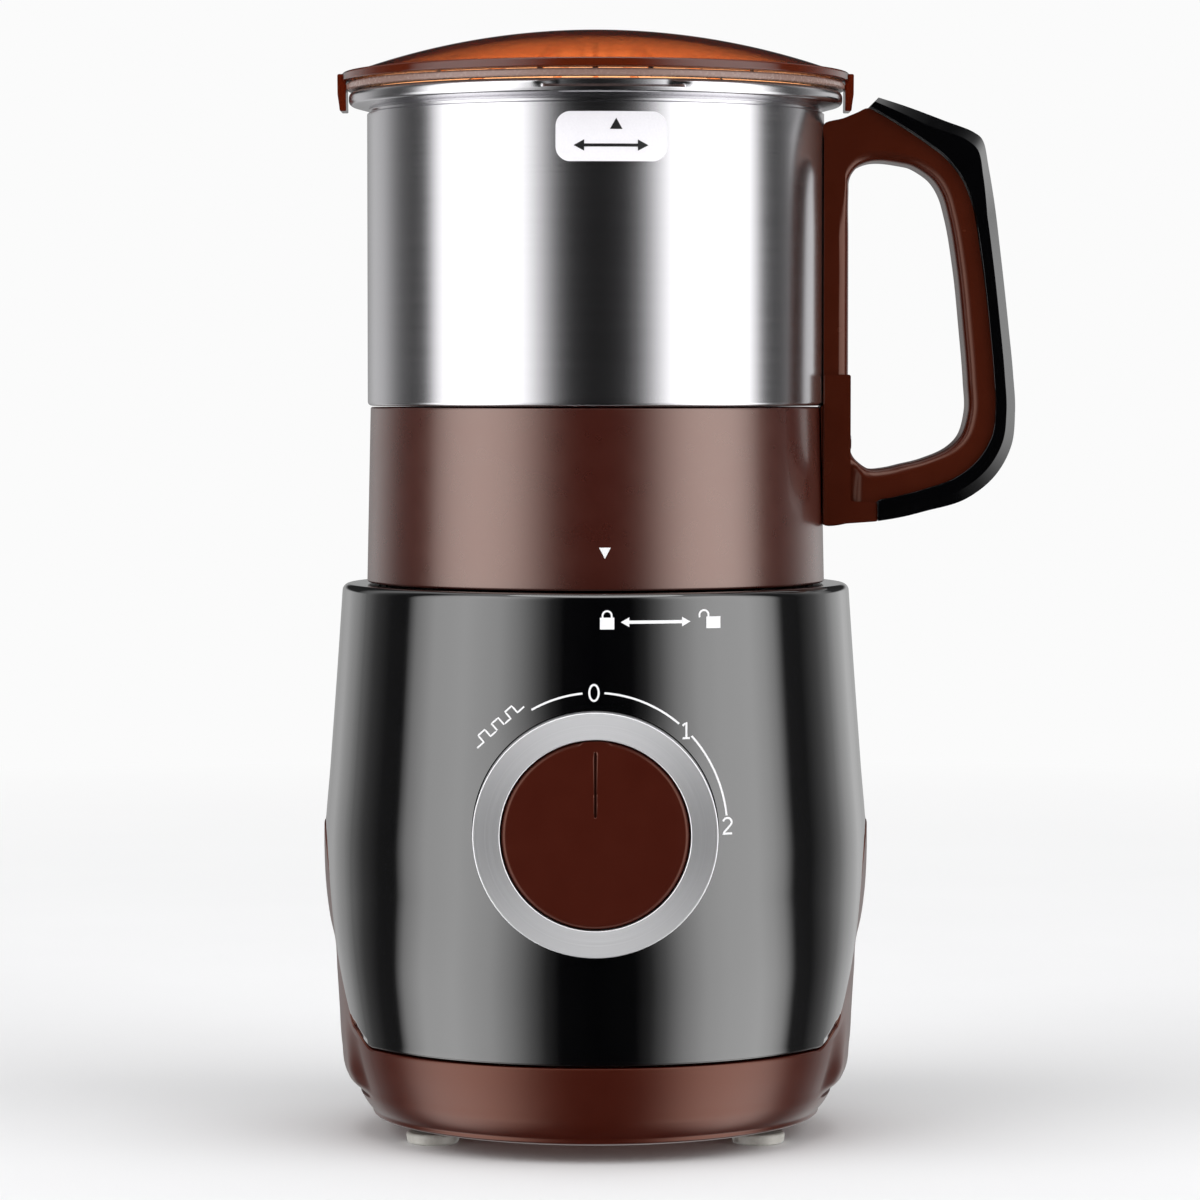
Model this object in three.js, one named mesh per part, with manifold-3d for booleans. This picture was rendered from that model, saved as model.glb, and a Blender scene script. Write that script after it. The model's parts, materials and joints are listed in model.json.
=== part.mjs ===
// Electric coffee grinder: a motor base with a dial, a lift-off steel cup with a handle, and a domed lid.
// Millimetres, +Z up. The cup, blades and motor share one upright axis, and the dial faces -Y.
import * as THREE from "three";
import { mergeVertices } from "three/addons/utils/BufferGeometryUtils.js";
import Module from "manifold-3d";

const wasm = await Module();
wasm.setup();

// Steps round a full circle, along a sector of a ring, and over the lid's dome.
const shellSteps = 40;
const roundSteps = 20;
const smallSteps = 12;
const sectorSteps = 6;
const domeSteps = 5;

// Clearances.
const clearance = 0.3;
const runningGap = 0.12;
const rotorGap = 0.8;
const overrun = 2;

// Feet.
const footHeight = 4;
const footRadius = 6.5;
const footStemRadius = 3.2;
const footPlaceX = 39;
const footPlaceY = 22;

// Lower housing: a brown pan with a wing up each side.
const housingWall = 2.5;
const panFloor = 3;
const panHeight = 19.55;
const panCurveReach = 10.2;
const panTopRadius = 61.2;
const wingDrop = 12.45;
const wingRise = 52.45;
const wingHalfWidth = 20;
const wingProud = 0.1;
const ventCount = 12;
const ventInner = 13;
const ventOuter = 33;
const ventWidth = 3.4;

// Upper housing: the black glossy shell.
const seamGap = 0.4;
const shellHeight = 110;
const bellyBulge = 4.8;
const shellTaper = 4.5;
const bellyRise = 45.5;
const topRounding = 2;
const deckThickness = 3;
const deckHoleRadius = 9;

// Screws that join the two housings, and their bosses.
const bossInset = 12.2;
const bossRadius = 4.2;
const bossRise = 30;
const bossCount = 4;
const screwRadius = 1.6;
const screwHeadRadius = 3.2;
const screwHeadHeight = 2.4;
const screwReach = 14;
const webWidth = 3;

// Dial on the front.
const dialHeight = 78.3;
const bezelRadius = 28.3;
const bezelDepth = 12;
const bezelProud = 2.5;
const bezelFloor = 2;
const bezelChamfer = 0.8;
const knobRadius = 21.7;
const knobDepth = 8;
const knobShoulder = 1.8;
const knobGrooveLength = 15;
const knobGrooveWidth = 1;
const knobGrooveDepth = 0.6;
const knobGrooveInset = 3.5;
const spindleRadius = 3;
const spindleReach = 8;
const spindleSink = 4;
const switchWidth = 28;
const switchDepth = 18;

// Motor.
const motorShaftRadius = 4;
const motorCentre = 73;
const stackHeight = 32;
const stackRadius = 32;
const stackHalfDepth = 27;
const armatureRadius = 16;
const windingRadius = 13.5;
const windingHeight = 6.5;
const coilWidth = 44;
const coilWire = 7;
const coilDepth = 6;
const coilPlace = 20.5;
const coilEndGap = 1;
const commutatorRadius = 10;
const commutatorHeight = 12;
const commutatorDrop = 2.5;
const bearingRadius = 11;
const bearingHeight = 7;
const bearingLip = 1.2;
const bracketWall = 3;
const bracketPlate = 4.5;
const bracketHalfDepth = 10;
const pillarWidth = 8;
const pillarHalfDepth = 7;
const boltPlace = 27;
const boltRadius = 2;
const boltHeadRadius = 3.6;
const boltHeadHeight = 2.5;
const boltHeadSides = 6;
const boltGrip = 18;
const postRadius = 5.5;
const brushWidth = 5;
const brushHeight = 7;
const brushLength = 9.5;
const brushCase = 1.8;
const fanRadius = 26;
const fanHubRadius = 8;
const fanHeight = 7.5;
const fanDisc = 1.5;
const fanVane = 1.2;
const fanVanes = 9;
const fanFloorGap = 3.3;

// Circuit board behind the motor.
const boardWidth = 44;
const boardHeight = 34;
const boardThickness = 1.6;
const boardGap = 9;
const boardPartWidth = 14;
const boardPartDepth = 9;
const boardPartHeight = 18;
const railWidth = 4;
const railDepth = 3;

// Cord inlet at the back.
const glandHeight = 14.5;
const glandRadius = 5;
const glandFlangeRadius = 7.5;
const glandFlange = 2.2;
const glandDepth = 7;
const glandSlotWidth = 6;
const glandSlotHeight = 3.4;

// Locking collar on the deck, and the couplings.
const collarRadius = 40;
const collarWall = 4;
const collarHeight = 11;
const collarLug = 1.6;
const collarLugHeight = 4;
const lugCount = 3;
const lugDegrees = 30;
const couplingRadius = 17;
const couplingBody = 6;
const couplingTooth = 6;
const couplingTeeth = 6;
const couplingToothDegrees = 25;
const couplingLift = 3;
const couplingToothGap = 0.6;

// Cup skirt.
const skirtHeight = 42.4;
const skirtTopInset = 0.7;
const skirtFlare = 0.9;
const skirtWall = 2.5;
const skirtPlate = 3;
const skirtRingWall = 2.5;
const skirtLug = 1.3;

// Steel cup.
const cupRadius = 55.3;
const cupWall = 1;
const cupHeight = 75.7;
const cupCorner = 4;
const rimOverhang = 4.5;
const rimHeight = 3.4;
const rimFlare = 3;
const rimInset = 1.9;
const notchWidth = 33.4;
const notchPlace = 4.2;
const notchDepth = 2.8;

// Blade bearing in the cup floor.
const housingBodyRadius = 9;
const housingFlangeRadius = 14;
const housingFlange = 2.6;
const housingDrop = 18;
const gasketThickness = 1.5;
const ringNutRadius = 15;
const ringNutHeight = 4.6;
const bushWall = 2;
const bushHeight = 7.5;
const sealRadius = 7.5;
const sealHeight = 2.6;

// Blades.
const bladeShaftRadius = 4;
const bladeThickness = 1.6;
const bladeWidth = 12;
const bladeHalfLength = 40;
const bladeFlat = 14;
const lowerBladeRise = 6;
const upperBladeRise = 15;
const bladeNutRadius = 6.5;
const bladeNutHeight = 5;
const bladeNutSides = 6;

// Handle.
const handleBeyondCup = 46.3;
const handleDrop = 28.6;
const handleRise = 74.9;
const handleTopStep = 4.6;
const handleWidth = 20;
const handleColumn = 5.6;
const handleTopBar = 11;
const handleFrameEdge = 6;
const handleEdgeRound = 2.5;
const gripThickness = 5.2;
const gripStart = 12.7;
const handleScrewLow = 8;
const handleScrewPitch = 12;
const handleScrewReach = 7;

// Lid.
const lidSealHeight = 1.7;
const lidSealOverhang = 0.6;
const lidSealWidth = 4.6;
const lidFlangeHeight = 2.1;
const lidFlangeOverhang = 1.7;
const lidDomeInset = 0.8;
const lidDomeRise = 10.4;
const lidWall = 2.2;
const lidRibWidth = 1.3;
const lidRibDepth = 1.2;
const lidRibInner = 16;
const lidRibEnd = 9;
const lidRibSpread = 15;
const lidRibGroups = 4;
const hookWidth = 10;
const hookThickness = 2.2;
const hookDrop = 7;
const hookToe = 1.5;

// Radii and places worked out from the sizes above.
const panFlatRadius = panTopRadius - panCurveReach;
const bellyRadius = panTopRadius + bellyBulge;
const shellTopRadius = bellyRadius - shellTaper;
const bossCircleRadius = panTopRadius - bossInset;
const boardPlace = stackHalfDepth + boardPartDepth + boardGap;
const skirtTopRadius = cupRadius - skirtTopInset;
const skirtBottomRadius = skirtTopRadius + skirtFlare;
const rimRadius = cupRadius + rimOverhang;
const handleReach = cupRadius + handleBeyondCup;
const gripInnerReach = cupRadius + gripStart;
const lidSealRadius = rimRadius + lidSealOverhang;
const lidFlangeRadius = rimRadius + lidFlangeOverhang;
const lidDomeRadius = rimRadius - lidDomeInset;
const lidRibOuter = lidDomeRadius - lidRibEnd;

// Heights worked out from the sizes above.
const seamZ = footHeight + panHeight;
const deckZ = seamZ + shellHeight;
const panInsideZ = footHeight + panFloor;
const skirtZ = deckZ + clearance;
const skirtTopZ = skirtZ + skirtHeight;
const cupZ = skirtTopZ + clearance;
const cupFloorZ = cupZ + cupWall;
const rimTopZ = cupZ + cupHeight;
const rimZ = rimTopZ - rimHeight;
const lidSealZ = rimTopZ + clearance;
const lidZ = lidSealZ + lidSealHeight + clearance;
const lidDomeZ = lidZ + lidFlangeHeight;
const hookZ = lidZ - hookDrop;
const handleBottomZ = skirtTopZ - handleDrop;
const handleTopZ = skirtTopZ + handleRise;
const stackBottomZ = motorCentre - stackHeight / 2;
const stackTopZ = motorCentre + stackHeight / 2;
const dialFrontY = -bellyRadius - bezelProud;

// Materials.
const paint = (color, roughness, metalness = 0) =>
  new THREE.MeshStandardMaterial({ color, roughness, metalness });
const paints = {
  black: paint("#0d0d10", 0.12),
  brown: paint("#3a130b", 0.18),
  satin: paint("#c9c9cc", 0.3, 1),
  steel: paint("#d2d3d6", 0.18, 1),
  amber: paint("#d8731c", 0.12),
  rubber: paint("#2a2a2c", 0.8),
  clearRubber: paint("#c8c8c2", 0.5),
  copper: paint("#b4632f", 0.4, 1),
  lamination: paint("#6c6f74", 0.5, 1),
  white: paint("#dedcd4", 0.5),
  board: paint("#2f6b3a", 0.6),
  carbon: paint("#232323", 0.7),
  nylon: paint("#e8e5da", 0.5),
};

// A closed three.js geometry as a solid, turned the right way out.
function solid(geometry) {
  const loose = geometry.index ? geometry.toNonIndexed() : geometry;
  const bare = new THREE.BufferGeometry().setAttribute("position", loose.getAttribute("position"));
  const merged = mergeVertices(bare, 1e-4);
  const corners = merged.index.array;
  const kept = [];
  for (let i = 0; i < corners.length; i += 3) {
    const [a, b, c] = corners.slice(i, i + 3);
    if (a !== b && b !== c && c !== a) kept.push([a, b, c]);
  }
  const make = (triangles) =>
    new wasm.Manifold(
      new wasm.Mesh({
        numProp: 3,
        vertProperties: merged.attributes.position.array,
        triVerts: Uint32Array.from(triangles.flat()),
      }),
    );
  const made = make(kept);
  return made.volume() < 0 ? make(kept.map(([a, b, c]) => [a, c, b])) : made;
}

// A section of [radius, height] points turned about the upright axis.
function turned(points, steps = roundSteps) {
  const section = points.map(([r, z]) => new THREE.Vector2(r, z));
  const onAxis = points[0][0] === 0 && points.at(-1)[0] === 0;
  if (!onAxis) section.push(section[0].clone());
  return new THREE.LatheGeometry(section, steps).rotateX(Math.PI / 2);
}

function disc(radius, low, high, steps = roundSteps) {
  return turned([[0, low], [radius, low], [radius, high], [0, high]], steps);
}

function ring(inner, outer, low, high, steps = roundSteps) {
  return turned([[inner, low], [outer, low], [outer, high], [inner, high]], steps);
}

// A box from its low corner to its high corner.
function block([x0, y0, z0], [x1, y1, z1]) {
  const box = new THREE.BoxGeometry(x1 - x0, y1 - y0, z1 - z0);
  return box.translate((x0 + x1) / 2, (y0 + y1) / 2, (z0 + z1) / 2);
}

// A flat outline of [x, y] points raised from low to high.
function raised(points, low, high) {
  const shape = new THREE.Shape(points.map(([x, y]) => new THREE.Vector2(x, y)));
  return new THREE.ExtrudeGeometry(shape, { depth: high - low, bevelEnabled: false }).translate(0, 0, low);
}

// An outline of [x, z] points stood upright and carried from one y to another.
function upright(points, near, far) {
  return raised(points, -far, -near).rotateX(Math.PI / 2);
}

// An outline of [y, z] points stood upright and carried from one x to another.
function sideways(points, near, far) {
  return raised(points, near, far).rotateY(Math.PI / 2).rotateX(Math.PI / 2);
}

// A turned shape laid along Y, its heights becoming places along +Y.
const alongY = (geometry) => geometry.rotateX(-Math.PI / 2);
// A round bar along +X at a height.
const alongX = (radius, from, to, z) =>
  new THREE.CylinderGeometry(radius, radius, to - from, smallSteps)
    .rotateZ(Math.PI / 2)
    .translate((from + to) / 2, 0, z);
const aboutZ = (geometry, degrees) => geometry.rotateZ(THREE.MathUtils.degToRad(degrees));
const all = (pieces) => pieces.reduce((sum, piece) => sum.add(piece));
const copies = (count, make) => Array.from({ length: count }, (_, i) => make(i, (360 * i) / count));

// A smooth run of points through a few chosen ones.
function smooth(points, steps) {
  return new THREE.SplineCurve(points.map(([x, z]) => new THREE.Vector2(x, z))).getPoints(steps)
    .map((p) => [p.x, p.y]);
}

// The points moved sideways by a distance, to the left of their direction.
function shifted(points, distance) {
  return points.map(([x, z], i) => {
    const before = points[Math.max(i - 1, 0)];
    const after = points[Math.min(i + 1, points.length - 1)];
    const run = new THREE.Vector2(after[0] - before[0], after[1] - before[1]).normalize();
    return [x - run.y * distance, z + run.x * distance];
  });
}

const pieces = new THREE.Group();
const solids = {};

function piece(name, made, material) {
  const { numProp, vertProperties, triVerts, numVert } = made.getMesh();
  const places = new Float32Array(numVert * 3);
  for (let i = 0; i < numVert; i++) places.set(vertProperties.subarray(i * numProp, i * numProp + 3), i * 3);
  const geometry = new THREE.BufferGeometry();
  geometry.setAttribute("position", new THREE.BufferAttribute(places, 3));
  geometry.setIndex(new THREE.BufferAttribute(triVerts, 1));
  geometry.computeVertexNormals();
  const mesh = new THREE.Mesh(geometry, material);
  mesh.name = name;
  pieces.add(mesh);
  solids[name] = made;
}

// Outer curve of the pan, as shares of its height and of the step from its flat to its top radius.
const panShares = [[0, 0], [0.1, 0.34], [0.29, 0.6], [0.46, 0.72], [0.7, 0.86], [1, 1]];
// Outer curve of the shell below its widest line, as shares of that height and widening.
const bellyShares = [[0, 0], [0.25, 0.46], [0.5, 0.78], [0.75, 0.95], [1, 1]];
// Outer curve of a wing, as shares of its height and of the widest radius.
const wingShares = [[0, 0.871], [0.054, 0.915], [0.307, 0.9455], [0.55, 0.9606], [0.628, 0.98],
  [0.752, 0.994], [0.876, 1], [1, 1]];
// Outline of a wing above the seam, as shares of its height and half width.
const archShares = [[0, 1.45], [0.04, 1.2], [0.12, 1.03], [0.3, 0.94], [0.5, 0.88], [0.7, 0.8], [0.85, 0.66],
  [0.94, 0.46], [1, 0.16]];

const panCurve = (inset) =>
  panShares.map(([up, out]) => [
    panFlatRadius + (panTopRadius - panFlatRadius) * out - inset,
    footHeight + panHeight * up,
  ]);
const bellyCurve = (inset) =>
  bellyShares.map(([up, out]) => [
    panTopRadius + (bellyRadius - panTopRadius) * out - inset,
    seamZ + bellyRise * up,
  ]);
const wingZ = seamZ - wingDrop;
const wingTopZ = seamZ + wingRise;
const wingCurve = (inset) =>
  wingShares.map(([up, out]) => [
    bellyRadius * out + wingProud - inset,
    wingZ + (wingTopZ - wingZ) * up,
  ]);

// The outline of both wings seen from the side, grown by a gap.
function archOutline(grow) {
  const half = archShares.map(([up, out]) => [wingHalfWidth * out + grow, seamZ + wingRise * up + grow]);
  const low = wingZ - overrun;
  const mirrored = half.map(([y, z]) => [-y, z]).reverse();
  return [[wingHalfWidth, low], [wingHalfWidth, seamZ], ...half, ...mirrored, [-wingHalfWidth, seamZ],
    [-wingHalfWidth, low]];
}
const wingSpan = bellyRadius + overrun;
const archPrism = (grow) => solid(sideways(archOutline(grow), -wingSpan, wingSpan));

// Places of the four housing screws, between the wings.
const bossAngle = (turn) => turn + 180 / bossCount;
const bossPlace = (turn) => {
  const angle = THREE.MathUtils.degToRad(bossAngle(turn));
  return [bossCircleRadius * Math.cos(angle), bossCircleRadius * Math.sin(angle), 0];
};
const feetPlaces = [
  ["front_left", -footPlaceX, -footPlaceY],
  ["front_right", footPlaceX, -footPlaceY],
  ["back_left", -footPlaceX, footPlaceY],
  ["back_right", footPlaceX, footPlaceY],
];

function lowerHousing() {
  const panOuter = solid(turned([[0, footHeight], ...panCurve(0), [0, seamZ]], shellSteps));
  const wingOuter = solid(turned([[0, wingZ], ...wingCurve(0), [0, wingTopZ]], shellSteps));
  const outer = panOuter.add(wingOuter.intersect(archPrism(0)));
  const floorCurve = panCurve(housingWall).filter(([, z]) => z > panInsideZ);
  const panInner = turned(
    [[0, panInsideZ], [panFlatRadius, panInsideZ], ...floorCurve, [0, seamZ]],
    shellSteps,
  );
  const wingInner = turned(
    [[0, wingZ + overrun], ...wingCurve(housingWall).slice(1), [0, wingTopZ]],
    shellSteps,
  );
  const hollow = solid(panInner).add(solid(wingInner));
  const bosses = all(
    copies(bossCount, (i, turn) =>
      solid(disc(bossRadius, footHeight, seamZ, smallSteps).translate(...bossPlace(turn))),
    ),
  ).intersect(panOuter);
  const headRoom = screwHeadHeight + 2 * clearance;
  const bores = copies(bossCount, (i, turn) => {
    const shaft = disc(screwRadius + clearance, 0, seamZ + overrun, smallSteps);
    const bore = solid(shaft.translate(...bossPlace(turn)));
    const sink = disc(screwHeadRadius + clearance, 0, panInsideZ + headRoom, smallSteps);
    return bore.add(solid(sink.translate(...bossPlace(turn))));
  });
  const stems = feetPlaces.map(([, x, y]) =>
    solid(disc(footStemRadius + clearance, 0, panInsideZ + overrun, smallSteps).translate(x, y, 0)),
  );
  const ventTop = panInsideZ + overrun;
  const vents = copies(ventCount, (i, turn) =>
    solid(aboutZ(block([ventInner, -ventWidth / 2, 0], [ventOuter, ventWidth / 2, ventTop]), turn)),
  );
  const inletBore = alongY(disc(glandRadius + clearance, panFlatRadius, bellyRadius, smallSteps));
  const inlet = solid(inletBore.translate(0, 0, glandHeight));
  return outer.subtract(hollow).add(bosses).subtract(all([...bores, ...stems, ...vents, inlet]));
}

function upperHousing() {
  const lowZ = seamZ + seamGap;
  const outerCurve = [
    ...bellyCurve(0),
    [shellTopRadius, deckZ - topRounding],
    [shellTopRadius - topRounding / 2, deckZ - topRounding / 4],
    [shellTopRadius - topRounding, deckZ],
  ];
  const outer = solid(turned([[0, seamZ], ...outerCurve, [0, deckZ]], shellSteps));
  const inner = solid(
    turned(
      [
        [0, seamZ - overrun],
        [panTopRadius - housingWall, seamZ - overrun],
        ...bellyCurve(housingWall),
        [shellTopRadius - housingWall, deckZ - deckThickness],
        [0, deckZ - deckThickness],
      ],
      shellSteps,
    ),
  );
  const bosses = all(
    copies(bossCount, (i, turn) => {
      const topZ = lowZ + bossRise;
      const column = disc(bossRadius, lowZ, topZ, smallSteps).translate(...bossPlace(turn));
      const web = block([bossCircleRadius, -webWidth / 2, lowZ], [bellyRadius, webWidth / 2, topZ]);
      return solid(column).add(solid(aboutZ(web, bossAngle(turn))));
    }),
  ).intersect(outer);
  const pilots = copies(bossCount, (i, turn) =>
    solid(disc(screwRadius + clearance, 0, lowZ + screwReach, smallSteps).translate(...bossPlace(turn))),
  );
  const postBottom = upperPlateZ + bracketPlate + clearance;
  const posts = [-boltPlace, boltPlace].map((x) =>
    solid(disc(postRadius, postBottom, deckZ - deckThickness / 2, smallSteps).translate(x, 0, 0)),
  );
  const boltHoles = [-boltPlace, boltPlace].map((x) => {
    const hole = disc(boltRadius + clearance, postBottom - overrun, boltTopZ + clearance, smallSteps);
    return solid(hole.translate(x, 0, 0));
  });
  const railLow = motorCentre - boardHeight / 2;
  const rails = [-1, 1].map((side) => {
    const inside = boardWidth / 2 - railDepth;
    const outside = boardWidth / 2 + railDepth;
    const low = [Math.min(side * inside, side * outside), boardPlace - railWidth, railLow];
    const high = [Math.max(side * inside, side * outside), bellyRadius, motorCentre];
    return solid(block(low, high));
  });
  const boardSlot = solid(
    block(
      [-boardWidth / 2 - clearance, boardPlace - clearance, railLow + clearance],
      [
        boardWidth / 2 + clearance,
        boardPlace + boardThickness + clearance,
        deckZ - deckThickness - overrun,
      ],
    ),
  );
  const railPair = all(rails).intersect(outer).subtract(boardSlot);
  const dialBore = alongY(disc(bezelRadius + clearance, -bellyRadius - overrun, -stackRadius, shellSteps));
  const dialHole = solid(dialBore.translate(0, 0, dialHeight));
  const shaftHole = solid(disc(deckHoleRadius, deckZ - deckThickness - overrun, deckZ + overrun));
  const below = solid(block([-wingSpan, -wingSpan, 0], [wingSpan, wingSpan, lowZ]));
  return outer
    .subtract(inner)
    .add(bosses)
    .add(all(posts))
    .add(railPair)
    .subtract(all([...pilots, ...boltHoles, dialHole, shaftHole, below, archPrism(clearance)]));
}

// Motor levels.
const commutatorZ = stackBottomZ - windingHeight - commutatorDrop - commutatorHeight;
const lowerBearingZ = commutatorZ - bearingHeight - overrun;
const lowerPlateZ = lowerBearingZ - clearance - bracketPlate;
const brushZ = commutatorZ + commutatorHeight / 2;
const upperBearingZ = stackTopZ + windingHeight + overrun + bearingLip;
const upperPlateZ = upperBearingZ + bearingHeight + clearance;
const boltTopZ = upperPlateZ + bracketPlate + boltGrip;
const pillarOuter = boltPlace + pillarWidth / 2;
const fanZ = panInsideZ + fanFloorGap;
const lowerCouplingZ = deckZ + couplingLift;
const lowerToothZ = lowerCouplingZ + couplingBody;
const meshTopZ = lowerToothZ + couplingTooth;
const upperCouplingZ = meshTopZ + couplingToothGap;

function bracket(plateLow, pillarLow, pillarHigh, pocketLow, pocketHigh) {
  const bearingWall = bearingRadius + bracketWall;
  const plateHigh = plateLow + bracketPlate;
  const half = bracketHalfDepth;
  const plate = block([-pillarOuter, -half, plateLow], [pillarOuter, half, plateHigh]);
  const pillars = [-1, 1].map((side) => {
    const low = Math.min(side * (boltPlace - pillarWidth / 2), side * pillarOuter);
    const foot = block([low, -pillarHalfDepth, pillarLow], [low + pillarWidth, pillarHalfDepth, pillarHigh]);
    return solid(foot);
  });
  const pocket = solid(disc(bearingWall, Math.min(plateLow, pocketLow), Math.max(plateHigh, pocketHigh)));
  const bearingRoom = solid(disc(bearingRadius + runningGap, pocketLow, pocketHigh));
  const shaftRoom = solid(disc(motorShaftRadius + rotorGap, plateLow - overrun, plateHigh + overrun));
  const bolts = [-boltPlace, boltPlace].map((x) =>
    solid(disc(boltRadius + clearance, lowerPlateZ - overrun, boltTopZ, smallSteps).translate(x, 0, 0)),
  );
  return solid(plate).add(all(pillars)).add(pocket).subtract(all([bearingRoom, shaftRoom, ...bolts]));
}

function motorParts() {
  const lowerTop = lowerBearingZ + bearingHeight;
  const lowPocket = lowerBearingZ - clearance;
  const lowerBracket = bracket(lowerPlateZ, lowerPlateZ, stackBottomZ - clearance, lowPocket, lowerTop);
  piece("lower_bracket", lowerBracket, paints.satin);
  const pillarTop = upperPlateZ + bracketPlate;
  const upperBracket = bracket(upperPlateZ, stackTopZ + clearance, pillarTop, upperBearingZ, upperPlateZ);
  piece("upper_bracket", upperBracket, paints.satin);
  const bearing = (low) =>
    solid(ring(motorShaftRadius + runningGap, bearingRadius, low, low + bearingHeight));
  piece("lower_bearing", bearing(lowerBearingZ), paints.steel);
  piece("upper_bearing", bearing(upperBearingZ), paints.steel);
  piece("stator_core", statorCore(), paints.lamination);
  piece("front_field_coil", fieldCoil(-coilPlace), paints.copper);
  piece("back_field_coil", fieldCoil(coilPlace), paints.copper);
  for (const [name, side] of [["left", -1], ["right", 1]]) {
    piece("brush_holder_" + name, brushHolder(side), paints.white);
    piece("carbon_brush_" + name, carbonBrush(side), paints.carbon);
    piece("motor_bolt_" + name, motorBolt(side * boltPlace), paints.steel);
  }
  piece("motor_shaft", solid(disc(motorShaftRadius, fanZ, lowerToothZ - clearance)), paints.steel);
  piece("armature", armature(), paints.lamination);
  const segments = ring(
    motorShaftRadius + clearance, commutatorRadius, commutatorZ, commutatorZ + commutatorHeight,
  );
  piece("commutator", solid(segments), paints.copper);
  piece("cooling_fan", coolingFan(), paints.nylon);
}

function statorCore() {
  const low = stackBottomZ - overrun;
  const high = stackTopZ + overrun;
  const round = solid(disc(stackRadius, stackBottomZ, stackTopZ));
  const flats = solid(block([-stackRadius, -stackHalfDepth, low], [stackRadius, stackHalfDepth, high]));
  const bore = solid(disc(armatureRadius + rotorGap, low, high));
  const slots = [-1, 1].flatMap((side) =>
    [-coilPlace, coilPlace].map((y) => {
      const inner = coilWidth / 2 - coilWire - clearance;
      const outer = coilWidth / 2 + clearance;
      const half = coilDepth / 2 + clearance;
      const x0 = Math.min(side * inner, side * outer);
      return solid(block([x0, y - half, low], [x0 + outer - inner, y + half, high]));
    }),
  );
  const bolts = [-boltPlace, boltPlace].map((x) =>
    solid(disc(boltRadius + clearance, low, high, smallSteps).translate(x, 0, 0)),
  );
  return round.intersect(flats).subtract(all([bore, ...slots, ...bolts]));
}

function fieldCoil(y) {
  const half = coilWidth / 2;
  const hole = half - coilWire;
  const near = y - coilDepth / 2;
  const far = y + coilDepth / 2;
  const low = stackBottomZ - coilEndGap;
  const high = stackTopZ + coilEndGap;
  const outer = solid(block([-half, near, low - coilWire], [half, far, high + coilWire]));
  const inner = solid(block([-hole, near - overrun, low], [hole, far + overrun, high]));
  return outer.subtract(inner);
}

function armature() {
  const bore = motorShaftRadius + clearance;
  return solid(
    turned([
      [bore, stackBottomZ - windingHeight],
      [windingRadius, stackBottomZ - windingHeight],
      [windingRadius, stackBottomZ],
      [armatureRadius, stackBottomZ],
      [armatureRadius, stackTopZ],
      [windingRadius, stackTopZ],
      [windingRadius, stackTopZ + windingHeight],
      [bore, stackTopZ + windingHeight],
    ]),
  );
}

function brushHolder(side) {
  const inner = commutatorRadius + brushCase;
  const outer = boltPlace - pillarWidth / 2 - clearance;
  const halfY = brushWidth / 2 + clearance;
  const halfZ = brushHeight / 2 + clearance;
  const x0 = Math.min(side * inner, side * outer);
  const shell = block(
    [x0, -halfY - brushCase, brushZ - halfZ - brushCase],
    [x0 + outer - inner, halfY + brushCase, brushZ + halfZ + brushCase],
  );
  const room = block(
    [x0 - overrun, -halfY, brushZ - halfZ],
    [x0 + outer - inner + overrun, halfY, brushZ + halfZ],
  );
  return solid(shell).subtract(solid(room));
}

function carbonBrush(side) {
  const inner = commutatorRadius + clearance;
  const x0 = Math.min(side * inner, side * (inner + brushLength));
  return solid(
    block(
      [x0, -brushWidth / 2, brushZ - brushHeight / 2],
      [x0 + brushLength, brushWidth / 2, brushZ + brushHeight / 2],
    ),
  );
}

function motorBolt(x) {
  const headTop = lowerPlateZ - clearance;
  const shank = solid(disc(boltRadius, headTop - boltHeadHeight, boltTopZ, smallSteps));
  const head = solid(disc(boltHeadRadius, headTop - boltHeadHeight, headTop, boltHeadSides));
  return solid(meshGeometry(shank.add(head)).translate(x, 0, 0));
}

// A finished solid as a three.js geometry again, so that it can be turned or moved.
function meshGeometry(made) {
  const { numProp, vertProperties, triVerts } = made.getMesh();
  const geometry = new THREE.BufferGeometry();
  geometry.setAttribute("position", new THREE.BufferAttribute(Float32Array.from(vertProperties), numProp));
  return geometry.setIndex(new THREE.BufferAttribute(triVerts, 1));
}

function coolingFan() {
  const bore = motorShaftRadius + clearance;
  const hub = solid(ring(bore, fanHubRadius, fanZ, fanZ + fanHeight));
  const plate = solid(ring(bore, fanRadius, fanZ, fanZ + fanDisc));
  const vanes = copies(fanVanes, (i, turn) =>
    solid(
      aboutZ(
        block([fanHubRadius - fanVane, -fanVane / 2, fanZ], [fanRadius, fanVane / 2, fanZ + fanHeight]),
        turn,
      ),
    ),
  );
  return all([hub, plate, ...vanes]);
}

// One sector of a ring, as an outline swept through some degrees.
function sector(inner, outer, low, high, middle, degrees) {
  const edge = (radius) =>
    Array.from({ length: sectorSteps + 1 }, (_, i) => {
      const angle = THREE.MathUtils.degToRad(middle + degrees * (i / sectorSteps - 1 / 2));
      return [radius * Math.cos(angle), radius * Math.sin(angle)];
    });
  return solid(raised([...edge(outer), ...edge(inner).reverse()], low, high));
}

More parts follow.
